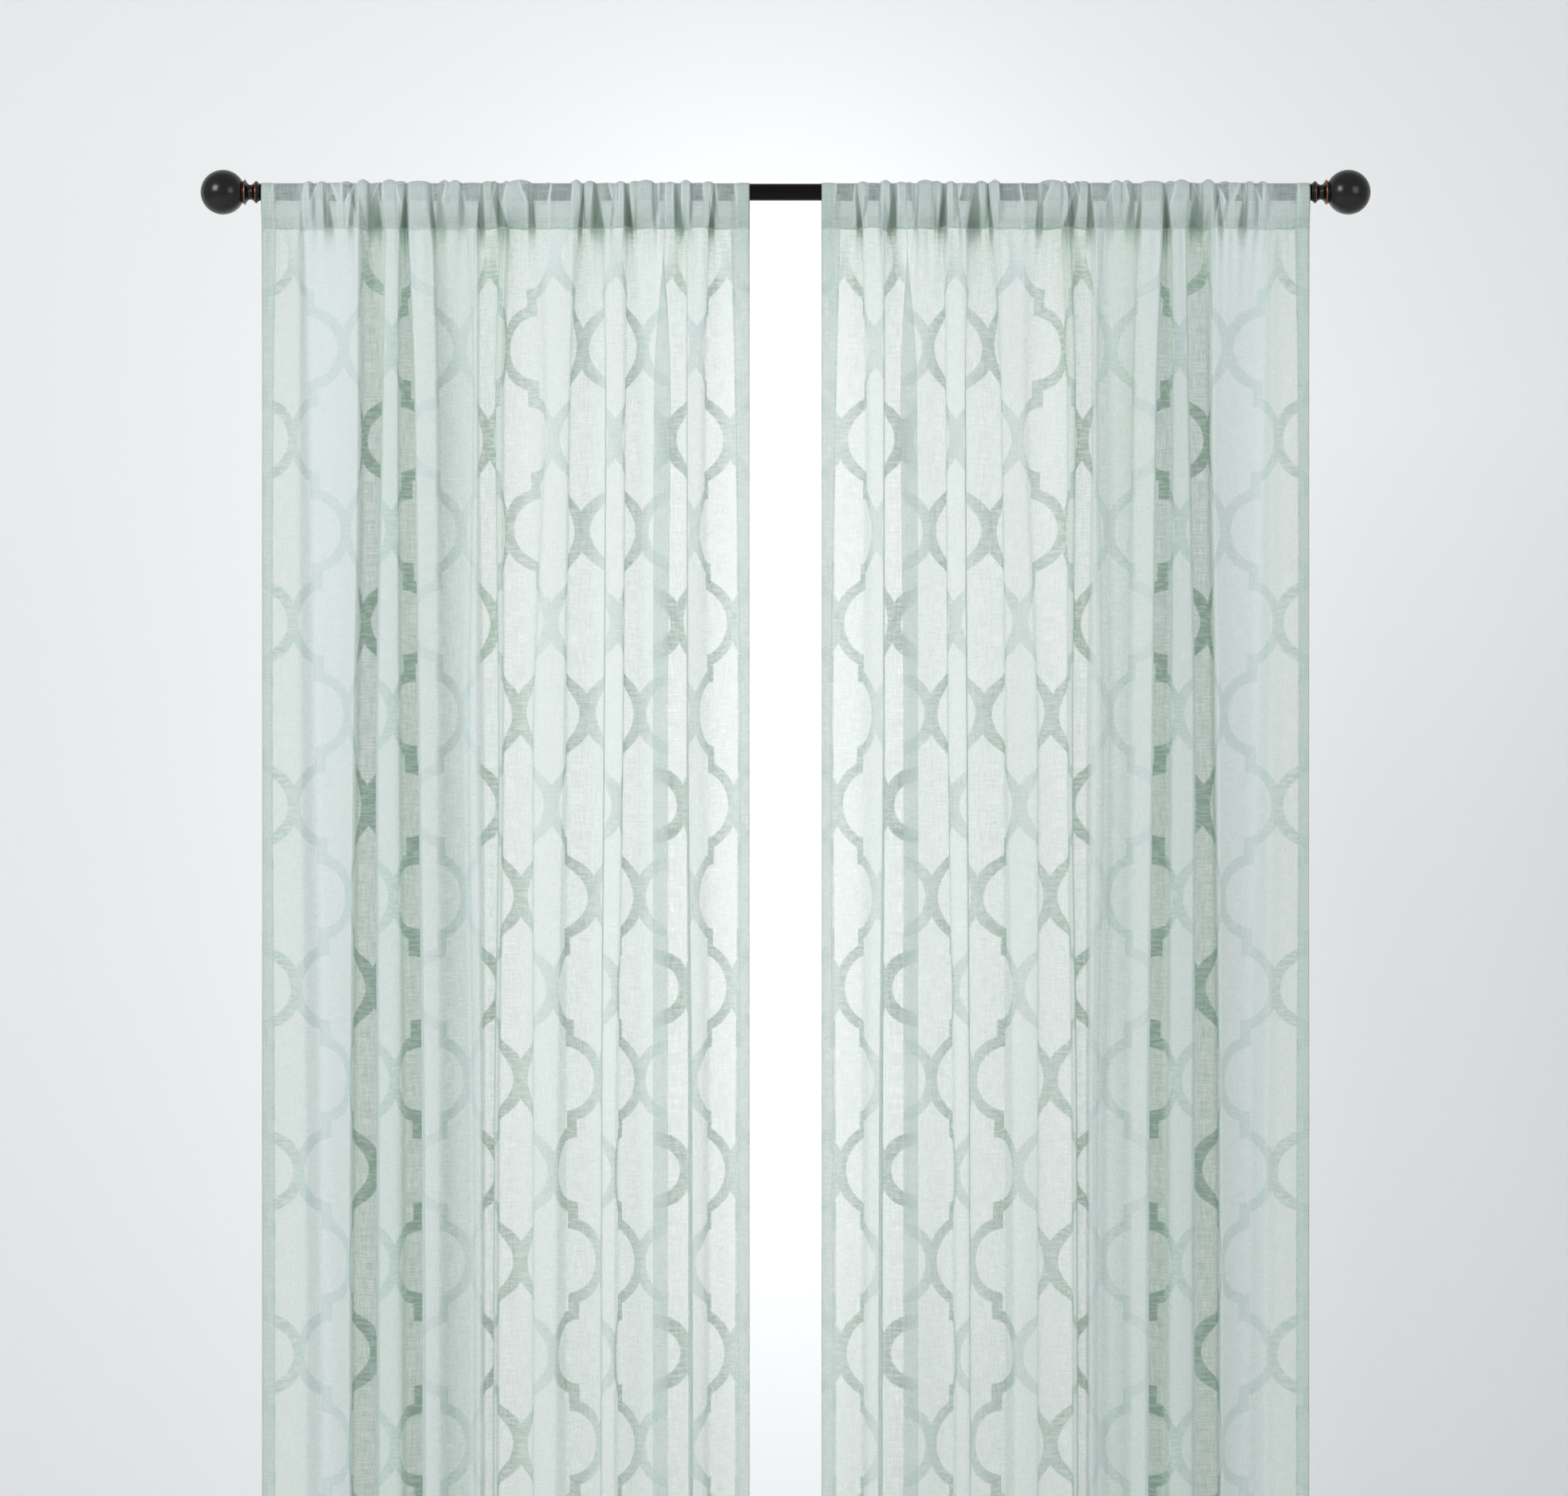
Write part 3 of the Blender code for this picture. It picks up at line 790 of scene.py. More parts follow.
            # Painted shade low on the pocket's front, most where it lies flat on the rod.
            sunk = (1 - share) * np.maximum(0.6 * clear, 0.5 * seam_deep)
            rise = self.seam_wave(across, 1 - share)
            self.add_row(
                along, across, self.pocket_front(share), height + rise, height, layers, tight, sunk,
                muted, rim)

        puff, top = puffs_at(across, 1.0)
        tight = tightness_at(across, 1.0)
        for step in range(1, self.OVER_STEPS + 1):
            angle = math.pi * step / self.OVER_STEPS
            turn = math.cos(angle)
            side_puff = puff if turn > 0 else self.BACK_PUFF * puff[::-1]
            lift = top * (1 - abs(turn)) + side_puff * abs(turn)
            out = (self.radius + lift) * turn
            height = (self.radius + lift) * math.sin(angle)
            front = 0.5 + 0.5 * turn
            layers, clear, rim = self.pocket_looks(1.0, float(self.radius * math.sin(angle)))
            self.add_row(
                along, across, out, height, self.radius * angle, layers, tight * front, 0.0, muted,
                rim * front)

        over = self.radius * math.pi
        for step in range(1, self.BACK_STEPS + 1):
            share = 1 - step / self.BACK_STEPS
            height = SEAM_Z * (1 - share)
            rise = self.seam_wave(across, 1 - share)
            back_across, back_out = self.pocket_back(share)
            self.add_row(
                along, back_across, back_out, height + rise, over - height, self.BACK_LAYERS, 0.0,
                self.BACK_DEEP, muted)

        for step in range(1, self.TURNED_STEPS + 1):
            height = self.cloth.turned_under * step / self.TURNED_STEPS
            share = height / -SEAM_Z
            back_across, back_out = self.pocket_back(share)
            between = 0.5 * float(ease(share * 4))
            out = (1 - between) * back_out + between * self.pocket_front(share)
            out = out + self.cloth.layer_gap * (1 - between)
            rise = height + self.seam_wave(across, 1 - share)
            self.add_row(
                along, back_across, out, SEAM_Z + rise, over - SEAM_Z + height, self.BACK_LAYERS, 0.0,
                self.TURNED_DEEP, muted)

    def grid(self):
        """The points, the cloth coordinates in metres and the looks, each as rows by columns."""
        kinds = np.array([row for row, places in self.rows])
        across, out, height, *looks = kinds.transpose(1, 0, 2)
        cloth_places = np.array([places for row, places in self.rows]).transpose(0, 2, 1)
        points = np.stack([OUTER_EDGE + across, -out, height], axis=-1)
        return points, cloth_places, dict(zip(self.LOOKS, looks))


def new_group(name, inputs, outputs):
    """An empty shader node group with its sockets, and its input and output nodes."""
    group = bpy.data.node_groups.new(name, "ShaderNodeTree")
    for socket, kind in inputs:
        group.interface.new_socket(name=socket, in_out="INPUT", socket_type=kind)
    for socket, kind in outputs:
        group.interface.new_socket(name=socket, in_out="OUTPUT", socket_type=kind)
    return group, group.nodes.new("NodeGroupInput"), group.nodes.new("NodeGroupOutput")


def feed(tree, socket, value):
    """Give a socket a link or a plain value."""
    if isinstance(value, bpy.types.NodeSocket):
        tree.links.new(value, socket)
    else:
        socket.default_value = value


def maths(tree, operation, *values, clamp=False):
    """A maths node's result."""
    node = tree.nodes.new("ShaderNodeMath")
    node.operation = operation
    node.use_clamp = clamp
    for socket, value in zip(node.inputs, values):
        feed(tree, socket, value)
    return node.outputs["Value"]


def soft_step(tree, value, edge, width, rising=True):
    """A soft step as value passes edge."""
    node = tree.nodes.new("ShaderNodeMapRange")
    node.interpolation_type = "SMOOTHSTEP"
    feed(tree, node.inputs["Value"], value)
    node.inputs["From Min"].default_value = edge - width
    node.inputs["From Max"].default_value = edge + width
    node.inputs["To Min"].default_value = 0.0 if rising else 1.0
    node.inputs["To Max"].default_value = 1.0 if rising else 0.0
    return node.outputs["Result"]


def mix_colour(tree, share, first, second):
    """A mix of two colours."""
    node = tree.nodes.new("ShaderNodeMix")
    node.data_type = "RGBA"
    node.clamp_factor = True
    feed(tree, node.inputs["Factor"], share)
    colours = [socket for socket in node.inputs if socket.type == "RGBA"]
    feed(tree, colours[0], first)
    feed(tree, colours[1], second)
    return [socket for socket in node.outputs if socket.type == "RGBA"][0]


def noise(tree, vector, scale, detail=2.0, flat=False):
    """Smooth noise, from 0 to 1, in space or on the flat cloth."""
    node = tree.nodes.new("ShaderNodeTexNoise")
    node.noise_dimensions = "2D" if flat else "3D"
    feed(tree, node.inputs["Vector"], vector)
    node.inputs["Scale"].default_value = scale
    node.inputs["Detail"].default_value = detail
    return node.outputs["Fac"]


def stretched(tree, vector, scale):
    """A vector scaled along each axis."""
    node = tree.nodes.new("ShaderNodeVectorMath")
    node.operation = "MULTIPLY"
    feed(tree, node.inputs[0], vector)
    node.inputs[1].default_value = scale
    return node.outputs["Vector"]


def make_trellis_group():
    """The woven trellis: rounded cells between dense bands, in half-repeat steps."""
    group, start, end = new_group(
        "woven_trellis",
        [("Cloth", "NodeSocketVector"), ("Width", "NodeSocketFloat"), ("Height", "NodeSocketFloat"),
         ("Start", "NodeSocketFloat")],
        [("Band", "NodeSocketFloat"), ("Outline", "NodeSocketFloat")],
    )
    cell_side = 0.20
    cell_radius = 0.25
    step_width = 0.20
    band_width = 0.089
    half_height = 0.5 * TRELLIS_HEIGHT / TRELLIS_WIDTH
    softness = 0.006
    split = group.nodes.new("ShaderNodeSeparateXYZ")
    group.links.new(start.outputs["Cloth"], split.inputs["Vector"])
    along = maths(group, "DIVIDE", split.outputs["X"], start.outputs["Width"])
    along = maths(group, "SUBTRACT", along, 0.25)
    drop = maths(group, "ADD", split.outputs["Y"], start.outputs["Start"])
    drop = maths(group, "DIVIDE", drop, start.outputs["Height"])
    drop = maths(group, "MULTIPLY", drop, 2 * half_height)
    side = maths(group, "PINGPONG", along, 0.5)
    level = maths(group, "PINGPONG", drop, half_height)

    def distance(middle_side, middle_level, side, level):
        away_side = maths(group, "SUBTRACT", side, middle_side)
        away_level = maths(group, "SUBTRACT", level, middle_level)
        square = maths(group, "MULTIPLY", away_level, away_level)
        square = maths(group, "MULTIPLY_ADD", away_side, away_side, square)
        return maths(group, "SQRT", square)

    def cell(side, level):
        disc = soft_step(group, distance(cell_side, 0.0, side, level), cell_radius, softness, rising=False)
        clear = soft_step(
            group, distance(0.5 - cell_side, half_height, side, level), cell_radius + band_width, softness)
        near = soft_step(group, side, step_width, softness, rising=False)
        return maths(group, "MAXIMUM", disc, maths(group, "MINIMUM", near, clear))

    other_side = maths(group, "SUBTRACT", 0.5, side)
    other_level = maths(group, "SUBTRACT", half_height, level)
    cells = maths(group, "MAXIMUM", cell(side, level), cell(other_side, other_level))
    band = maths(group, "SUBTRACT", 1.0, cells, clamp=True)
    group.links.new(band, end.inputs["Band"])
    outline = maths(group, "MULTIPLY", maths(group, "MULTIPLY", band, cells), 4.0, clamp=True)
    group.links.new(outline, end.inputs["Outline"])
    return group


def make_weave_group():
    """Fine crossed threads, the longer slubs that lie across the cloth, and the weave's relief."""
    group, start, end = new_group(
        "voile_threads",
        [("Cloth", "NodeSocketVector")],
        [("Threads", "NodeSocketFloat"), ("Slubs", "NodeSocketFloat"), ("Relief", "NodeSocketFloat")],
    )
    cloth = start.outputs["Cloth"]
    thread_pitch = 0.0011
    turns = math.pi / thread_pitch
    across = noise(group, stretched(group, cloth, (45.0, 430.0, 1.0)), 1.0, 0.0, flat=True)
    down = noise(group, stretched(group, cloth, (430.0, 40.0, 1.0)), 1.0, 0.0, flat=True)
    threads = maths(group, "ADD", maths(group, "MULTIPLY", across, 0.5), maths(group, "MULTIPLY", down, 0.5))
    slubs = noise(group, stretched(group, cloth, (62.0, 270.0, 1.0)), 1.0, 1.0, flat=True)
    slubs = soft_step(group, slubs, 0.53, 0.07)
    group.links.new(threads, end.inputs["Threads"])
    group.links.new(slubs, end.inputs["Slubs"])
    split = group.nodes.new("ShaderNodeSeparateXYZ")
    group.links.new(stretched(group, cloth, (turns, turns, 0.0)), split.inputs["Vector"])
    over_under = maths(group, "SINE", split.outputs["X"])
    over_under = maths(group, "MULTIPLY", over_under, maths(group, "SINE", split.outputs["Y"]))
    group.links.new(over_under, end.inputs["Relief"])
    return group


def make_wear_group():
    """A ring that is rubbed bare round a turned edge, uneven along its length."""
    group, start, end = new_group(
        "rubbed_edge",
        [("Place", "NodeSocketVector"), ("Middle", "NodeSocketFloat"), ("Half Width", "NodeSocketFloat")],
        [("Bare", "NodeSocketFloat")],
    )
    split = group.nodes.new("ShaderNodeSeparateXYZ")
    group.links.new(start.outputs["Place"], split.inputs["Vector"])
    along = maths(group, "ABSOLUTE", split.outputs["X"])
    away = maths(group, "ABSOLUTE", maths(group, "SUBTRACT", along, start.outputs["Middle"]))
    share = maths(group, "DIVIDE", away, start.outputs["Half Width"])
    uneven = noise(group, start.outputs["Place"], 160.0, 3.0)
    share = maths(group, "ADD", share, maths(group, "MULTIPLY", maths(group, "SUBTRACT", uneven, 0.5), 1.1))
    group.links.new(soft_step(group, share, 0.75, 0.35, rising=False), end.inputs["Bare"])
    return group


def new_material(name):
    """A material with its Principled shader."""
    material = bpy.data.materials.new(name)
    material.use_nodes = True
    return material, material.node_tree, material.node_tree.nodes["Principled BSDF"]


def use_group(tree, group, **values):
    """Place a node group and feed its inputs."""
    node = tree.nodes.new("ShaderNodeGroup")
    node.node_tree = group
    for socket, value in values.items():
        feed(tree, node.inputs[socket.replace("_", " ")], value)
    return node.outputs


def look(tree, name):
    """One of the panel's looks, read from its points."""
    node = tree.nodes.new("ShaderNodeAttribute")
    node.attribute_name = name
    return node.outputs["Fac"]


def make_voile(cloth, groups):
    """The sheer voile, which follows the cloth's own coordinates in metres."""
    material, tree, shader = new_material("sheer_voile")
    place = tree.nodes.new("ShaderNodeUVMap")
    place.uv_map = "cloth"
    trellis = use_group(
        tree, groups["trellis"], Cloth=place.outputs["UV"], Width=cloth.trellis_width,
        Height=cloth.trellis_height, Start=cloth.trellis_start)
    weave = use_group(tree, groups["weave"], Cloth=place.outputs["UV"])
    tight, layered, deep, muted, rim = (look(tree, name) for name in PanelShape.LOOKS)
    outline, slubs = trellis["Outline"], weave["Slubs"]
    band = maths(tree, "MULTIPLY", trellis["Band"], maths(tree, "SUBTRACT", 1.0, muted))

    open_cover = maths(
        tree, "MULTIPLY_ADD", deep, cloth.deep_ground_cover - cloth.ground_cover, cloth.ground_cover)
    denser = maths(tree, "SUBTRACT", cloth.band_cover, open_cover)
    cover = maths(tree, "MULTIPLY_ADD", band, denser, open_cover)
    grain = maths(tree, "MULTIPLY_ADD", deep, GRAIN_IN_FOLDS, GRAIN_COVER)
    grain = maths(tree, "MULTIPLY_ADD", muted, GRAIN_WHERE_MUTED, grain)
    grain = maths(tree, "MULTIPLY", maths(tree, "SUBTRACT", weave["Threads"], 0.5), grain)
    cover = maths(tree, "ADD", cover, grain)
    cover = maths(tree, "ADD", cover, maths(tree, "MULTIPLY", outline, OUTLINE_COVER), clamp=True)
    layers = maths(
        tree, "MULTIPLY_ADD", layered, PanelShape.MOST_LAYERS - PanelShape.FEWEST_LAYERS,
        PanelShape.FEWEST_LAYERS)
    open_share = maths(tree, "POWER", maths(tree, "SUBTRACT", 1.0, cover), layers)
    cover = maths(tree, "SUBTRACT", 1.0, open_share)
    cover = maths(tree, "MULTIPLY_ADD", tight, TIGHT_COVER, cover, clamp=True)
    cover = maths(tree, "MULTIPLY_ADD", rim, RIM_COVER, cover, clamp=True)
    own_cover = maths(tree, "SUBTRACT", cover, cloth.glow)
    own_cover = maths(tree, "DIVIDE", own_cover, 1 - cloth.glow, clamp=True)
    tree.links.new(own_cover, shader.inputs["Alpha"])

    # Painted shade: the colours go from the lit ridge copy to the darker, greener shaded copy the deeper a
    # place lies in the folds.
    ground = mix_colour(tree, deep, (*cloth.ground_colour, 1.0), (*cloth.shaded_ground_colour, 1.0))
    dense = mix_colour(tree, deep, (*cloth.band_colour, 1.0), (*cloth.shaded_band_colour, 1.0))
    streak = maths(tree, "MULTIPLY", slubs, maths(tree, "MULTIPLY_ADD", deep, SLUB_IN_FOLDS, SLUB_SHARE))
    dense = mix_colour(tree, streak, dense, SLUB_COLOUR)
    colour = mix_colour(tree, band, ground, dense)
    # The tight mark paints shade into the pocket's slots, and the rim mark paints a highlight on the folds'
    # rims.
    for shown, strength, tint in (
        (outline, OUTLINE_SHARE, OUTLINE_COLOUR),
        (tight, SLOT_SHADE_SHARE, (*cloth.slot_shade_colour, 1.0)),
        (rim, RIM_HIGHLIGHT_SHARE, RIM_HIGHLIGHT_COLOUR),
    ):
        colour = mix_colour(tree, maths(tree, "MULTIPLY", shown, strength), colour, tint)
    tree.links.new(colour, shader.inputs["Base Color"])
    shader.inputs["Roughness"].default_value = 0.80
    shader.inputs["Specular IOR Level"].default_value = 0.25
    shader.inputs["Sheen Weight"].default_value = 0.10

    bump = tree.nodes.new("ShaderNodeBump")
    bump.inputs["Strength"].default_value = 0.25
    bump.inputs["Distance"].default_value = 0.00012
    tree.links.new(weave["Relief"], bump.inputs["Height"])
    tree.links.new(bump.outputs["Normal"], shader.inputs["Normal"])

    glow = tree.nodes.new("ShaderNodeBsdfTranslucent")
    tree.links.new(colour, glow.inputs["Color"])
    blend = tree.nodes.new("ShaderNodeMixShader")
    blend.inputs["Fac"].default_value = cloth.glow
    tree.links.new(shader.outputs["BSDF"], blend.inputs[1])
    tree.links.new(glow.outputs["BSDF"], blend.inputs[2])
    tree.links.new(blend.outputs["Shader"], tree.nodes["Material Output"].inputs["Surface"])
    return material


def make_thread():
    """The sewing thread, a shade paler than the trellis."""
    material, tree, shader = new_material("sewing_thread")
    place = tree.nodes.new("ShaderNodeTexCoord")
    twist = noise(tree, stretched(tree, place.outputs["Object"], (2600.0, 2600.0, 2600.0)), 1.0, 1.0)
    colour = mix_colour(tree, twist, THREAD_SHADE, THREAD_LIGHT)
    tree.links.new(colour, shader.inputs["Base Color"])
    shader.inputs["Roughness"].default_value = 0.55
    return material


def make_bronze(metal, groups, name, rings):
    """Dark bronze paint with copper showing on the turned rings given as (middle, half width)."""
    material, tree, shader = new_material(name)
    place = tree.nodes.new("ShaderNodeTexCoord").outputs["Object"]
    fine = noise(tree, place, 900.0, 3.0)
    broad = noise(tree, place, 24.0, 3.0)
    bronze = (*metal.bronze, 1.0)
    colour = mix_colour(tree, maths(tree, "MULTIPLY", broad, 0.5), bronze, BROWN_PAINT)
    bare = None
    for middle, half_width in rings:
        ring = use_group(tree, groups["wear"], Place=place, Middle=middle, Half_Width=half_width)["Bare"]
        bare = ring if bare is None else maths(tree, "MAXIMUM", bare, ring)
    if bare is not None:
        colour = mix_colour(tree, bare, colour, (*metal.copper, 1.0))
        metallic = maths(tree, "MULTIPLY_ADD", bare, 0.8, 0.05, clamp=True)
        tree.links.new(metallic, shader.inputs["Metallic"])
    else:
        shader.inputs["Metallic"].default_value = 0.05
    tree.links.new(colour, shader.inputs["Base Color"])
    shader.inputs["Specular IOR Level"].default_value = 0.45 if rings else 0.12
    rough = maths(tree, "MULTIPLY_ADD", broad, 0.16, 0.10)
    rough = maths(tree, "MULTIPLY_ADD", fine, 0.10, rough, clamp=True)
    tree.links.new(rough, shader.inputs["Roughness"])
    bump = tree.nodes.new("ShaderNodeBump")
    bump.inputs["Strength"].default_value = 0.12
    bump.inputs["Distance"].default_value = 0.0002
    tree.links.new(fine, bump.inputs["Height"])
    tree.links.new(bump.outputs["Normal"], shader.inputs["Normal"])
    return material


def groups_for_materials():
    """The shared node groups, built once."""
    makers = {
        "trellis": ("woven_trellis", make_trellis_group),
        "weave": ("voile_threads", make_weave_group),
        "wear": ("rubbed_edge", make_wear_group),
    }
    return {key: bpy.data.node_groups.get(name) or make() for key, (name, make) in makers.items()}


def finish_piece(name, shape, material, replaces=None):
    """Turn a bmesh into a piece that rides on the curtain's one body."""
    mesh = bpy.data.meshes.new(name)
    shape.to_mesh(mesh)
    shape.free()
    mesh.materials.append(material)
    piece = bpy.data.objects.new(name, mesh)
    bpy.context.scene.collection.objects.link(piece)
    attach(piece, "root")
    if replaces:
        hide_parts(replaces)
    return piece


def make_panel(name, side, shape, material, node):
    """One panel as a fine sheet. side is -1 for the left one and +1 for its mirror image."""
    points, cloth_places, looks = shape.grid()
    row_count, column_count = points.shape[:2]
    grid = bmesh.new()
    bmesh.ops.create_grid(grid, x_segments=column_count - 1, y_segments=row_count - 1, size=1)
    uv_layer = grid.loops.layers.uv.new("cloth")
    layers = [(grid.verts.layers.float.new(name), values) for name, values in looks.items()]
    spots = {}
    for point in grid.verts:
        column = round((point.co.x + 1) / 2 * (column_count - 1))
        row = round((point.co.y + 1) / 2 * (row_count - 1))
        spots[point] = (row, column)
        x, y, z = points[row, column]
        point.co = (-side * x, y, z)
        for layer, values in layers:
            point[layer] = values[row, column]
    for face in grid.faces:
        face.smooth = True
        for loop in face.loops:
            loop[uv_layer].uv = cloth_places[spots[loop.vert]]
    if side > 0:
        bmesh.ops.reverse_faces(grid, faces=grid.faces)
    return finish_piece(name, grid, material, node)


def stitch_places(shape):
    """Where the stitches are, as (row, column, whether they run along the row) of the panel's grid."""
    cloth = shape.cloth
    clear_of_edge = 0.003
    from_fold = 0.0016
    above_hem = 0.004
    below_hem_top = 0.002
    above_seam = 0.1
    columns = np.arange(len(shape.along)) + shape.HEM_COLUMNS
    rows = np.arange(len(shape.front_z)) + shape.HEM_STEPS
    hem_row = float(np.interp(HEM_Z + cloth.bottom_hem - below_hem_top, shape.front_z, rows))
    spots = []
    for row in (rows[-1] + above_seam, hem_row):
        for place in np.arange(clear_of_edge, shape.inner_edge - clear_of_edge, STITCH_PITCH):
            spots.append((row, float(np.interp(place, shape.along, columns)), True))
    for place in (cloth.outer_hem - from_fold, shape.inner_edge - cloth.inner_hem + from_fold):
        column = float(np.interp(place, shape.along, columns))
        heights = np.arange(HEM_Z + above_hem, SEAM_Z, STITCH_PITCH)
        spots += [(float(row), column, False) for row in np.interp(heights, shape.front_z, rows)]
    return spots


def read_grid(points, row, column):
    """The point of the grid at a fractional row and column."""
    low_row = min(int(row), points.shape[0] - 2)
    low_column = min(int(column), points.shape[1] - 2)
    row_share = row - low_row
    column_share = column - low_column
    near = points[low_row:low_row + 2, low_column]
    far = points[low_row:low_row + 2, low_column + 1]
    lower, upper = near * (1 - column_share) + far * column_share
    return Vector(lower * (1 - row_share) + upper * row_share)


def make_stitches(name, side, shape, material):
    """Every stitch of one panel, each a short flat bar of thread on the cloth's face."""
    points = shape.grid()[0]
    size = Matrix.Diagonal((STITCH_LENGTH, STITCH_WIDTH, STITCH_HEIGHT, 1.0))
    sewing = bmesh.new()
    for row, column, along_row in stitch_places(shape):
        spot = read_grid(points, row, column)
        right = (read_grid(points, row, column + 0.3) - read_grid(points, row, column - 0.3)).normalized()
        up = (read_grid(points, row + 0.2, column) - read_grid(points, row - 0.2, column)).normalized()
        face = right.cross(up).normalized()
        run = right + 0.35 * up if along_row else up + 0.1 * right
        run.normalize()
        turn = Matrix((run, face.cross(run).normalized(), face)).transposed().to_4x4()
        place = Matrix.Translation(spot + face * STITCH_LIFT) @ turn @ size
        bmesh.ops.create_cube(sewing, size=1.0, matrix=place)
    if side > 0:
        bmesh.ops.scale(sewing, vec=(-1.0, 1.0, 1.0), verts=sewing.verts)
        bmesh.ops.reverse_faces(sewing, faces=sewing.faces)
    return finish_piece(name, sewing, material)


def finial_outline():
    """The finial's outline from the ball's far pole to the middle of the face that meets the rod."""
    ball_rings = 40
    cove_steps = 12
    sweep = math.pi - math.asin(FLANGE[0].radius / BALL_RADIUS)
    outline = []
    for step in range(ball_rings):
        angle = sweep * step / ball_rings
        outline.append(Turned(-BALL_RADIUS * math.cos(angle), BALL_RADIUS * math.sin(angle)))
    outline += FLANGE
    for edge, shares in (
        (FLANGE[-1], [1 - step / cove_steps for step in range(1, cove_steps)]),
        (BEAD[0], [step / cove_steps for step in range(cove_steps)]),
    ):
        for share in shares:
            along = NECK.along + share * (edge.along - NECK.along)
            outline.append(Turned(along, NECK.radius + share**2 * (edge.radius - NECK.radius)))
    outline += BEAD
    outline.append(Turned(FINIAL_SEAT, ROD_RADIUS))
    outline.append(Turned(FINIAL_SEAT, 0.0))
    return outline


def make_finial(name, side, metal, material):
    """One finial, spun about the rod's axis."""
    shape = bmesh.new()
    points = []
    for place in finial_outline():
        points.append(shape.verts.new((side * (BALL_CENTRE - place.along), place.radius, 0.0)))
    edges = [shape.edges.new(pair) for pair in zip(points, points[1:])]
    bmesh.ops.spin(
        shape, geom=points + edges, cent=(0, 0, 0), axis=(1, 0, 0), angle=2 * math.pi,
        steps=metal.sides, use_merge=True, use_duplicate=False)
    bmesh.ops.remove_doubles(shape, verts=shape.verts, dist=0.000001)
    bmesh.ops.recalc_face_normals(shape, faces=shape.faces)
    for face in shape.faces:
        face.smooth = True
    return finish_piece(name, shape, material, name.replace("_turned", ""))


def area_light(name, place, aim, size, power, colour=NEUTRAL_LIGHT):
    """A soft light that looks at a point, with its width and height. The camera doesn't see it."""
    data = bpy.data.lights.new(name, "AREA")
    data.shape = "RECTANGLE"
    data.size, data.size_y = size
    data.energy = power
    data.color = colour
    light = bpy.data.objects.new(name, data)
    light.location = place
    light.rotation_euler = (Vector(aim) - Vector(place)).to_track_quat("-Z", "Y").to_euler()
    light.visible_camera = False
    bpy.context.scene.collection.objects.link(light)


class CURTAIN_OT_stage(bpy.types.Operator):
    """Make the floor, the wall, the lights and the camera"""

    bl_idname = "curtain.stage"
    bl_label = "Stage"

    def execute(self, context):
        stage = context.scene.curtain_stage
        self.make_room(stage)
        self.make_lights(context, stage)
        self.make_camera(context, stage)
        return {"FINISHED"}

    def make_room(self, stage):
        """A plain wall behind the curtain, seen from the room's side only, and a plain floor."""
        floor_z = HEM_Z - stage.floor_gap
        material, tree, shader = new_material("plain_wall")
        shader.inputs["Base Color"].default_value = (*stage.wall_colour, 1.0)
        shader.inputs["Roughness"].default_value = 0.95
        shader.inputs["Specular IOR Level"].default_value = 0.1
        sides = tree.nodes.new("ShaderNodeNewGeometry")
        clear = tree.nodes.new("ShaderNodeBsdfTransparent")
        blend = tree.nodes.new("ShaderNodeMixShader")
        tree.links.new(sides.outputs["Backfacing"], blend.inputs["Fac"])
        tree.links.new(shader.outputs["BSDF"], blend.inputs[1])
        tree.links.new(clear.outputs["BSDF"], blend.inputs[2])
        tree.links.new(blend.outputs["Shader"], tree.nodes["Material Output"].inputs["Surface"])
        for name, middle, size, turn in (
            ("floor", (0, -2.0, floor_z), (16.0, 14.0), Matrix.Identity(3)),
            ("wall", (0, stage.wall_gap, floor_z + 3.5), (16.0, 7.0), Matrix.Rotation(math.pi / 2, 3, "X")),
        ):
            shape = bmesh.new()
            bmesh.ops.create_grid(shape, x_segments=1, y_segments=1, size=0.5)
            bmesh.ops.scale(shape, vec=(*size, 1.0), verts=shape.verts)
            bmesh.ops.rotate(shape, cent=(0, 0, 0), matrix=turn, verts=shape.verts)
            bmesh.ops.translate(shape, vec=middle, verts=shape.verts)
            mesh = bpy.data.meshes.new(name)
            shape.to_mesh(mesh)
            shape.free()
            mesh.materials.append(material)
            surface = bpy.data.objects.new(name, mesh)
            bpy.context.scene.collection.objects.link(surface)

    def make_lights(self, context, stage):
        """Even soft light from both sides, and a light on the wall that the cloth glows against."""
        world = bpy.data.worlds.new("soft_room")
        world.use_nodes = True
        world.node_tree.nodes["Background"].inputs["Color"].default_value = (0.98, 0.99, 1.0, 1.0)
        world.node_tree.nodes["Background"].inputs["Strength"].default_value = 0.47
        context.scene.world = world
        middle = (0.0, 0.0, -stage.picture_drop)
        on_wall = (0.0, stage.wall_gap, -stage.picture_drop)
        behind = (0.0, 0.5, -stage.picture_drop)
        by_wall = (0.0, stage.wall_gap - 0.5, -stage.picture_drop)
        area_light("key", (-3.4, -3.6, 1.4), middle, (1.8, 1.8), 105.0)
        area_light("fill", (3.6, -4.4, 0.6), middle, (2.6, 2.6), 50.0, COOL_LIGHT)
        area_light("wall_light", behind, on_wall, (2.4, 2.4), 6.5)
        area_light("middle_light", by_wall, on_wall, (0.5, 2.0), 2.4)
        context.scene.view_settings.view_transform = "Standard"

    def make_camera(self, context, stage):
        """A level camera in front of the rod, as the picture was taken."""
        data = bpy.data.cameras.new("camera")
        data.sensor_fit = "HORIZONTAL"
        data.sensor_width = 36.0
        data.lens = data.sensor_width * stage.camera_distance / stage.picture_width
        data.clip_end = 60.0
        camera = bpy.data.objects.new("camera", data)
        camera.location = (stage.picture_side, -stage.camera_distance, -stage.picture_drop)
        camera.rotation_euler = (math.pi / 2, 0, 0)
        context.scene.collection.objects.link(camera)
        context.scene.camera = camera


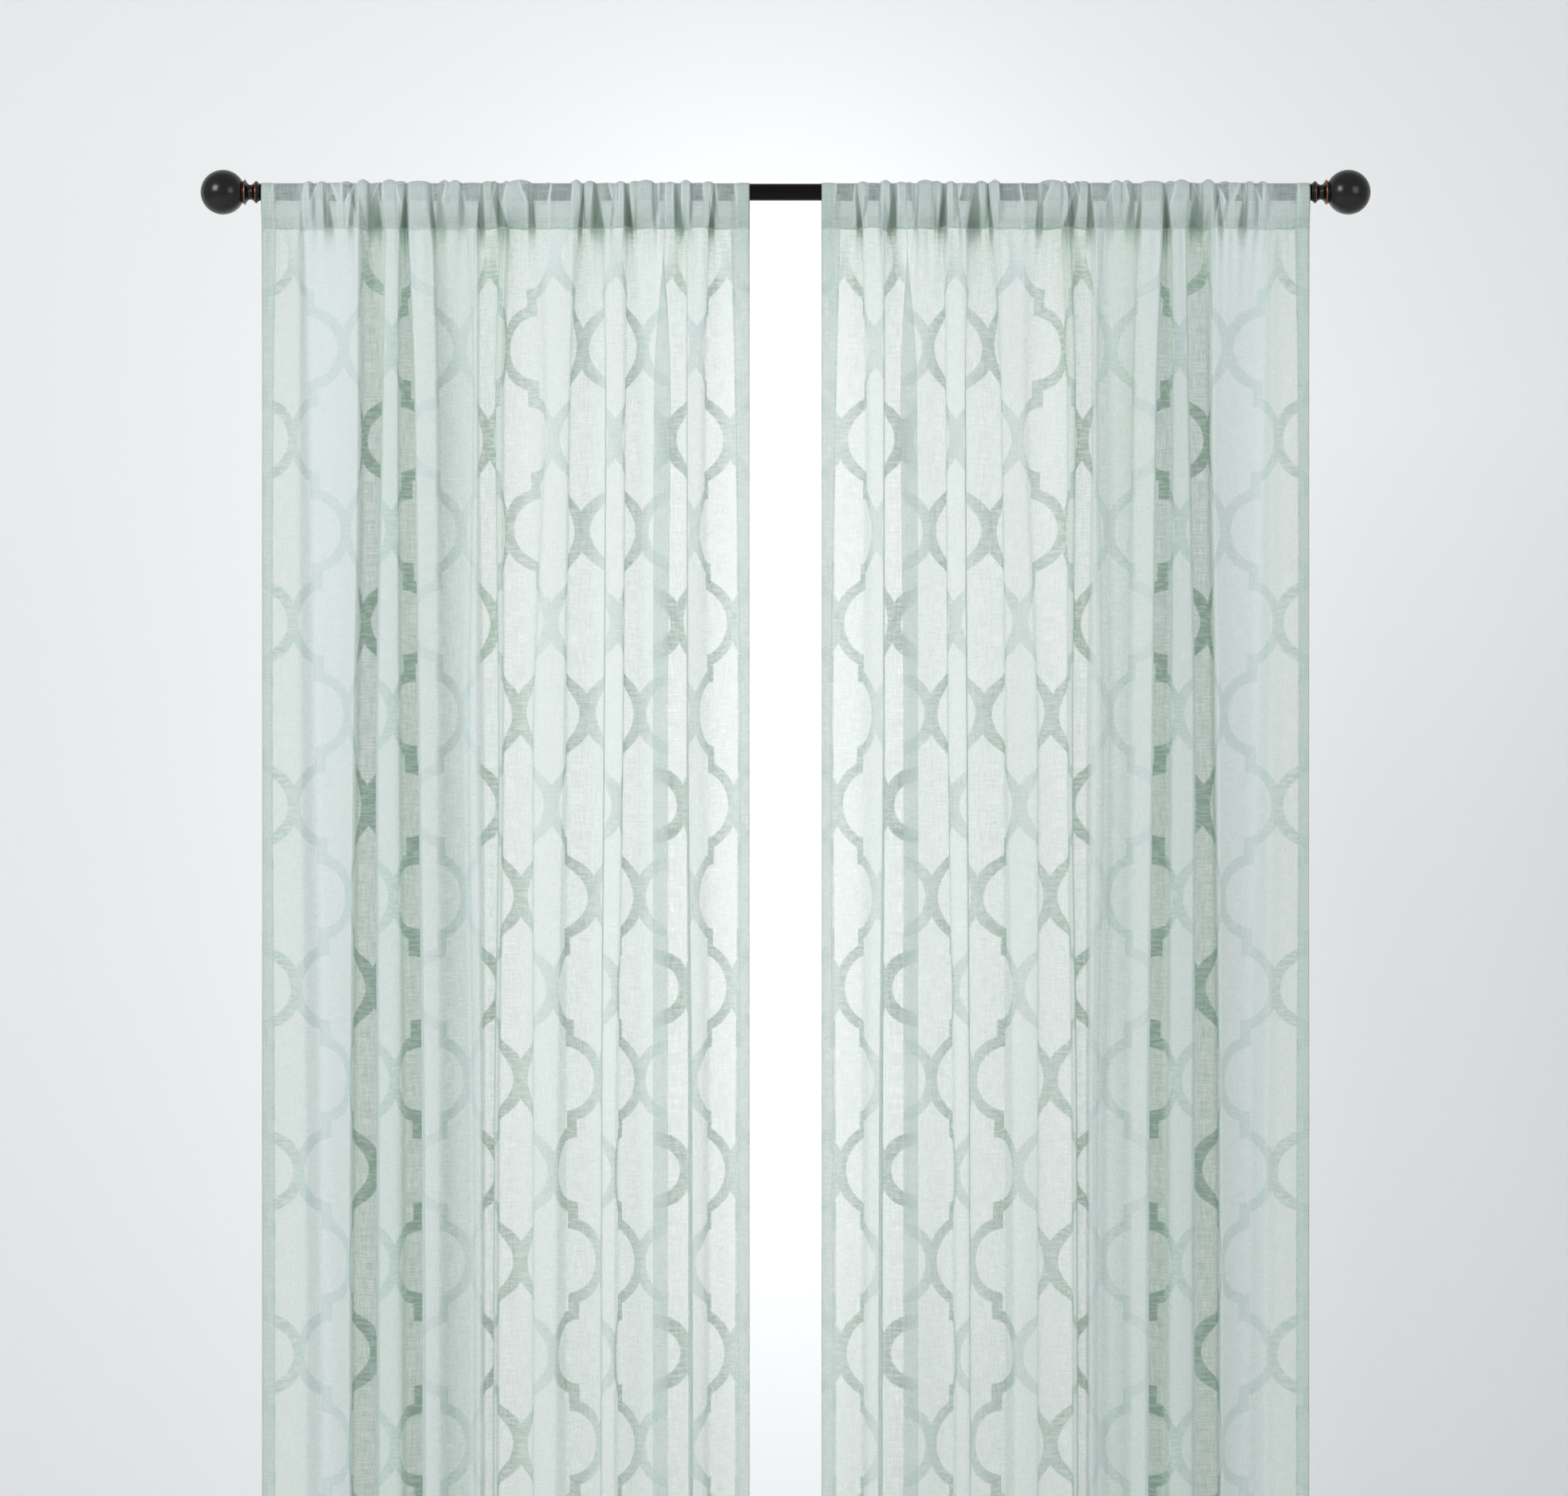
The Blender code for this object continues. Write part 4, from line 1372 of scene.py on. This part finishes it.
class CURTAIN_OT_rod(bpy.types.Operator):
    """Make the smooth rod"""

    bl_idname = "curtain.rod"
    bl_label = "Rod"

    def execute(self, context):
        metal = context.scene.curtain_metal
        shape = bmesh.new()
        made = bmesh.ops.create_cone(
            shape, cap_ends=True, segments=metal.sides, radius1=ROD_RADIUS, radius2=ROD_RADIUS,
            depth=2 * ROD_HALF, matrix=Matrix.Rotation(math.pi / 2, 4, "Y"))
        for face in shape.faces:
            face.smooth = len(face.verts) == 4
        material = make_bronze(metal, groups_for_materials(), "rod_bronze", ())
        if not made["verts"]:
            raise RuntimeError("the rod has no shape")
        finish_piece("rod_tube", shape, material, "rod")
        return {"FINISHED"}


class CURTAIN_OT_finials(bpy.types.Operator):
    """Make the two turned finials"""

    bl_idname = "curtain.finials"
    bl_label = "Finials"

    def execute(self, context):
        metal = context.scene.curtain_metal
        rings = [(BALL_CENTRE - ring.along, ring.half_width) for ring in RUBBED]
        material = make_bronze(metal, groups_for_materials(), "finial_bronze", rings)
        for name, side in (("finial_left_turned", -1), ("finial_right_turned", 1)):
            make_finial(name, side, metal, material)
        return {"FINISHED"}


class CURTAIN_OT_panels(bpy.types.Operator):
    """Make the two voile panels with their stitches"""

    bl_idname = "curtain.panels"
    bl_label = "Panels"

    def execute(self, context):
        cloth = context.scene.curtain_cloth
        groups = groups_for_materials()
        voile = make_voile(cloth, groups)
        thread = make_thread()
        shape = PanelShape(cloth)
        for side, word in ((-1, "left"), (1, "right")):
            sheet = make_panel(f"voile_{word}", side, shape, voile, f"panel_{word}")
            stitches = make_stitches(f"stitches_{word}", side, shape, thread)
        return {"FINISHED"}


class CURTAIN_PT_panel(bpy.types.Panel):
    """The curtain's pieces and their settings"""

    bl_label = "Curtain"
    bl_idname = "CURTAIN_PT_panel"
    bl_space_type = "VIEW_3D"
    bl_region_type = "UI"
    bl_category = "Curtain"

    def draw(self, context):
        layout = self.layout
        for operator in OPERATORS:
            layout.operator(operator.bl_idname)
        for group in SETTINGS:
            settings = getattr(context.scene, group)
            box = layout.box()
            for name in settings.__annotations__:
                box.prop(settings, name)


SETTINGS = {"curtain_cloth": CurtainCloth, "curtain_metal": CurtainMetal, "curtain_stage": CurtainStage}
OPERATORS = (CURTAIN_OT_stage, CURTAIN_OT_rod, CURTAIN_OT_finials, CURTAIN_OT_panels)


def register():
    """Add the settings, the operators and the panel."""
    for kind in (*SETTINGS.values(), *OPERATORS, CURTAIN_PT_panel):
        bpy.utils.register_class(kind)
    for name, kind in SETTINGS.items():
        setattr(bpy.types.Scene, name, PointerProperty(type=kind))


def unregister():
    """Take them away again."""
    for name in SETTINGS:
        delattr(bpy.types.Scene, name)
    for kind in reversed((*SETTINGS.values(), *OPERATORS, CURTAIN_PT_panel)):
        bpy.utils.unregister_class(kind)


def main():
    """Make every piece in order."""
    register()
    bpy.ops.curtain.stage()
    bpy.ops.curtain.rod()
    bpy.ops.curtain.finials()
    bpy.ops.curtain.panels()


if __name__ == "__main__":
    main()
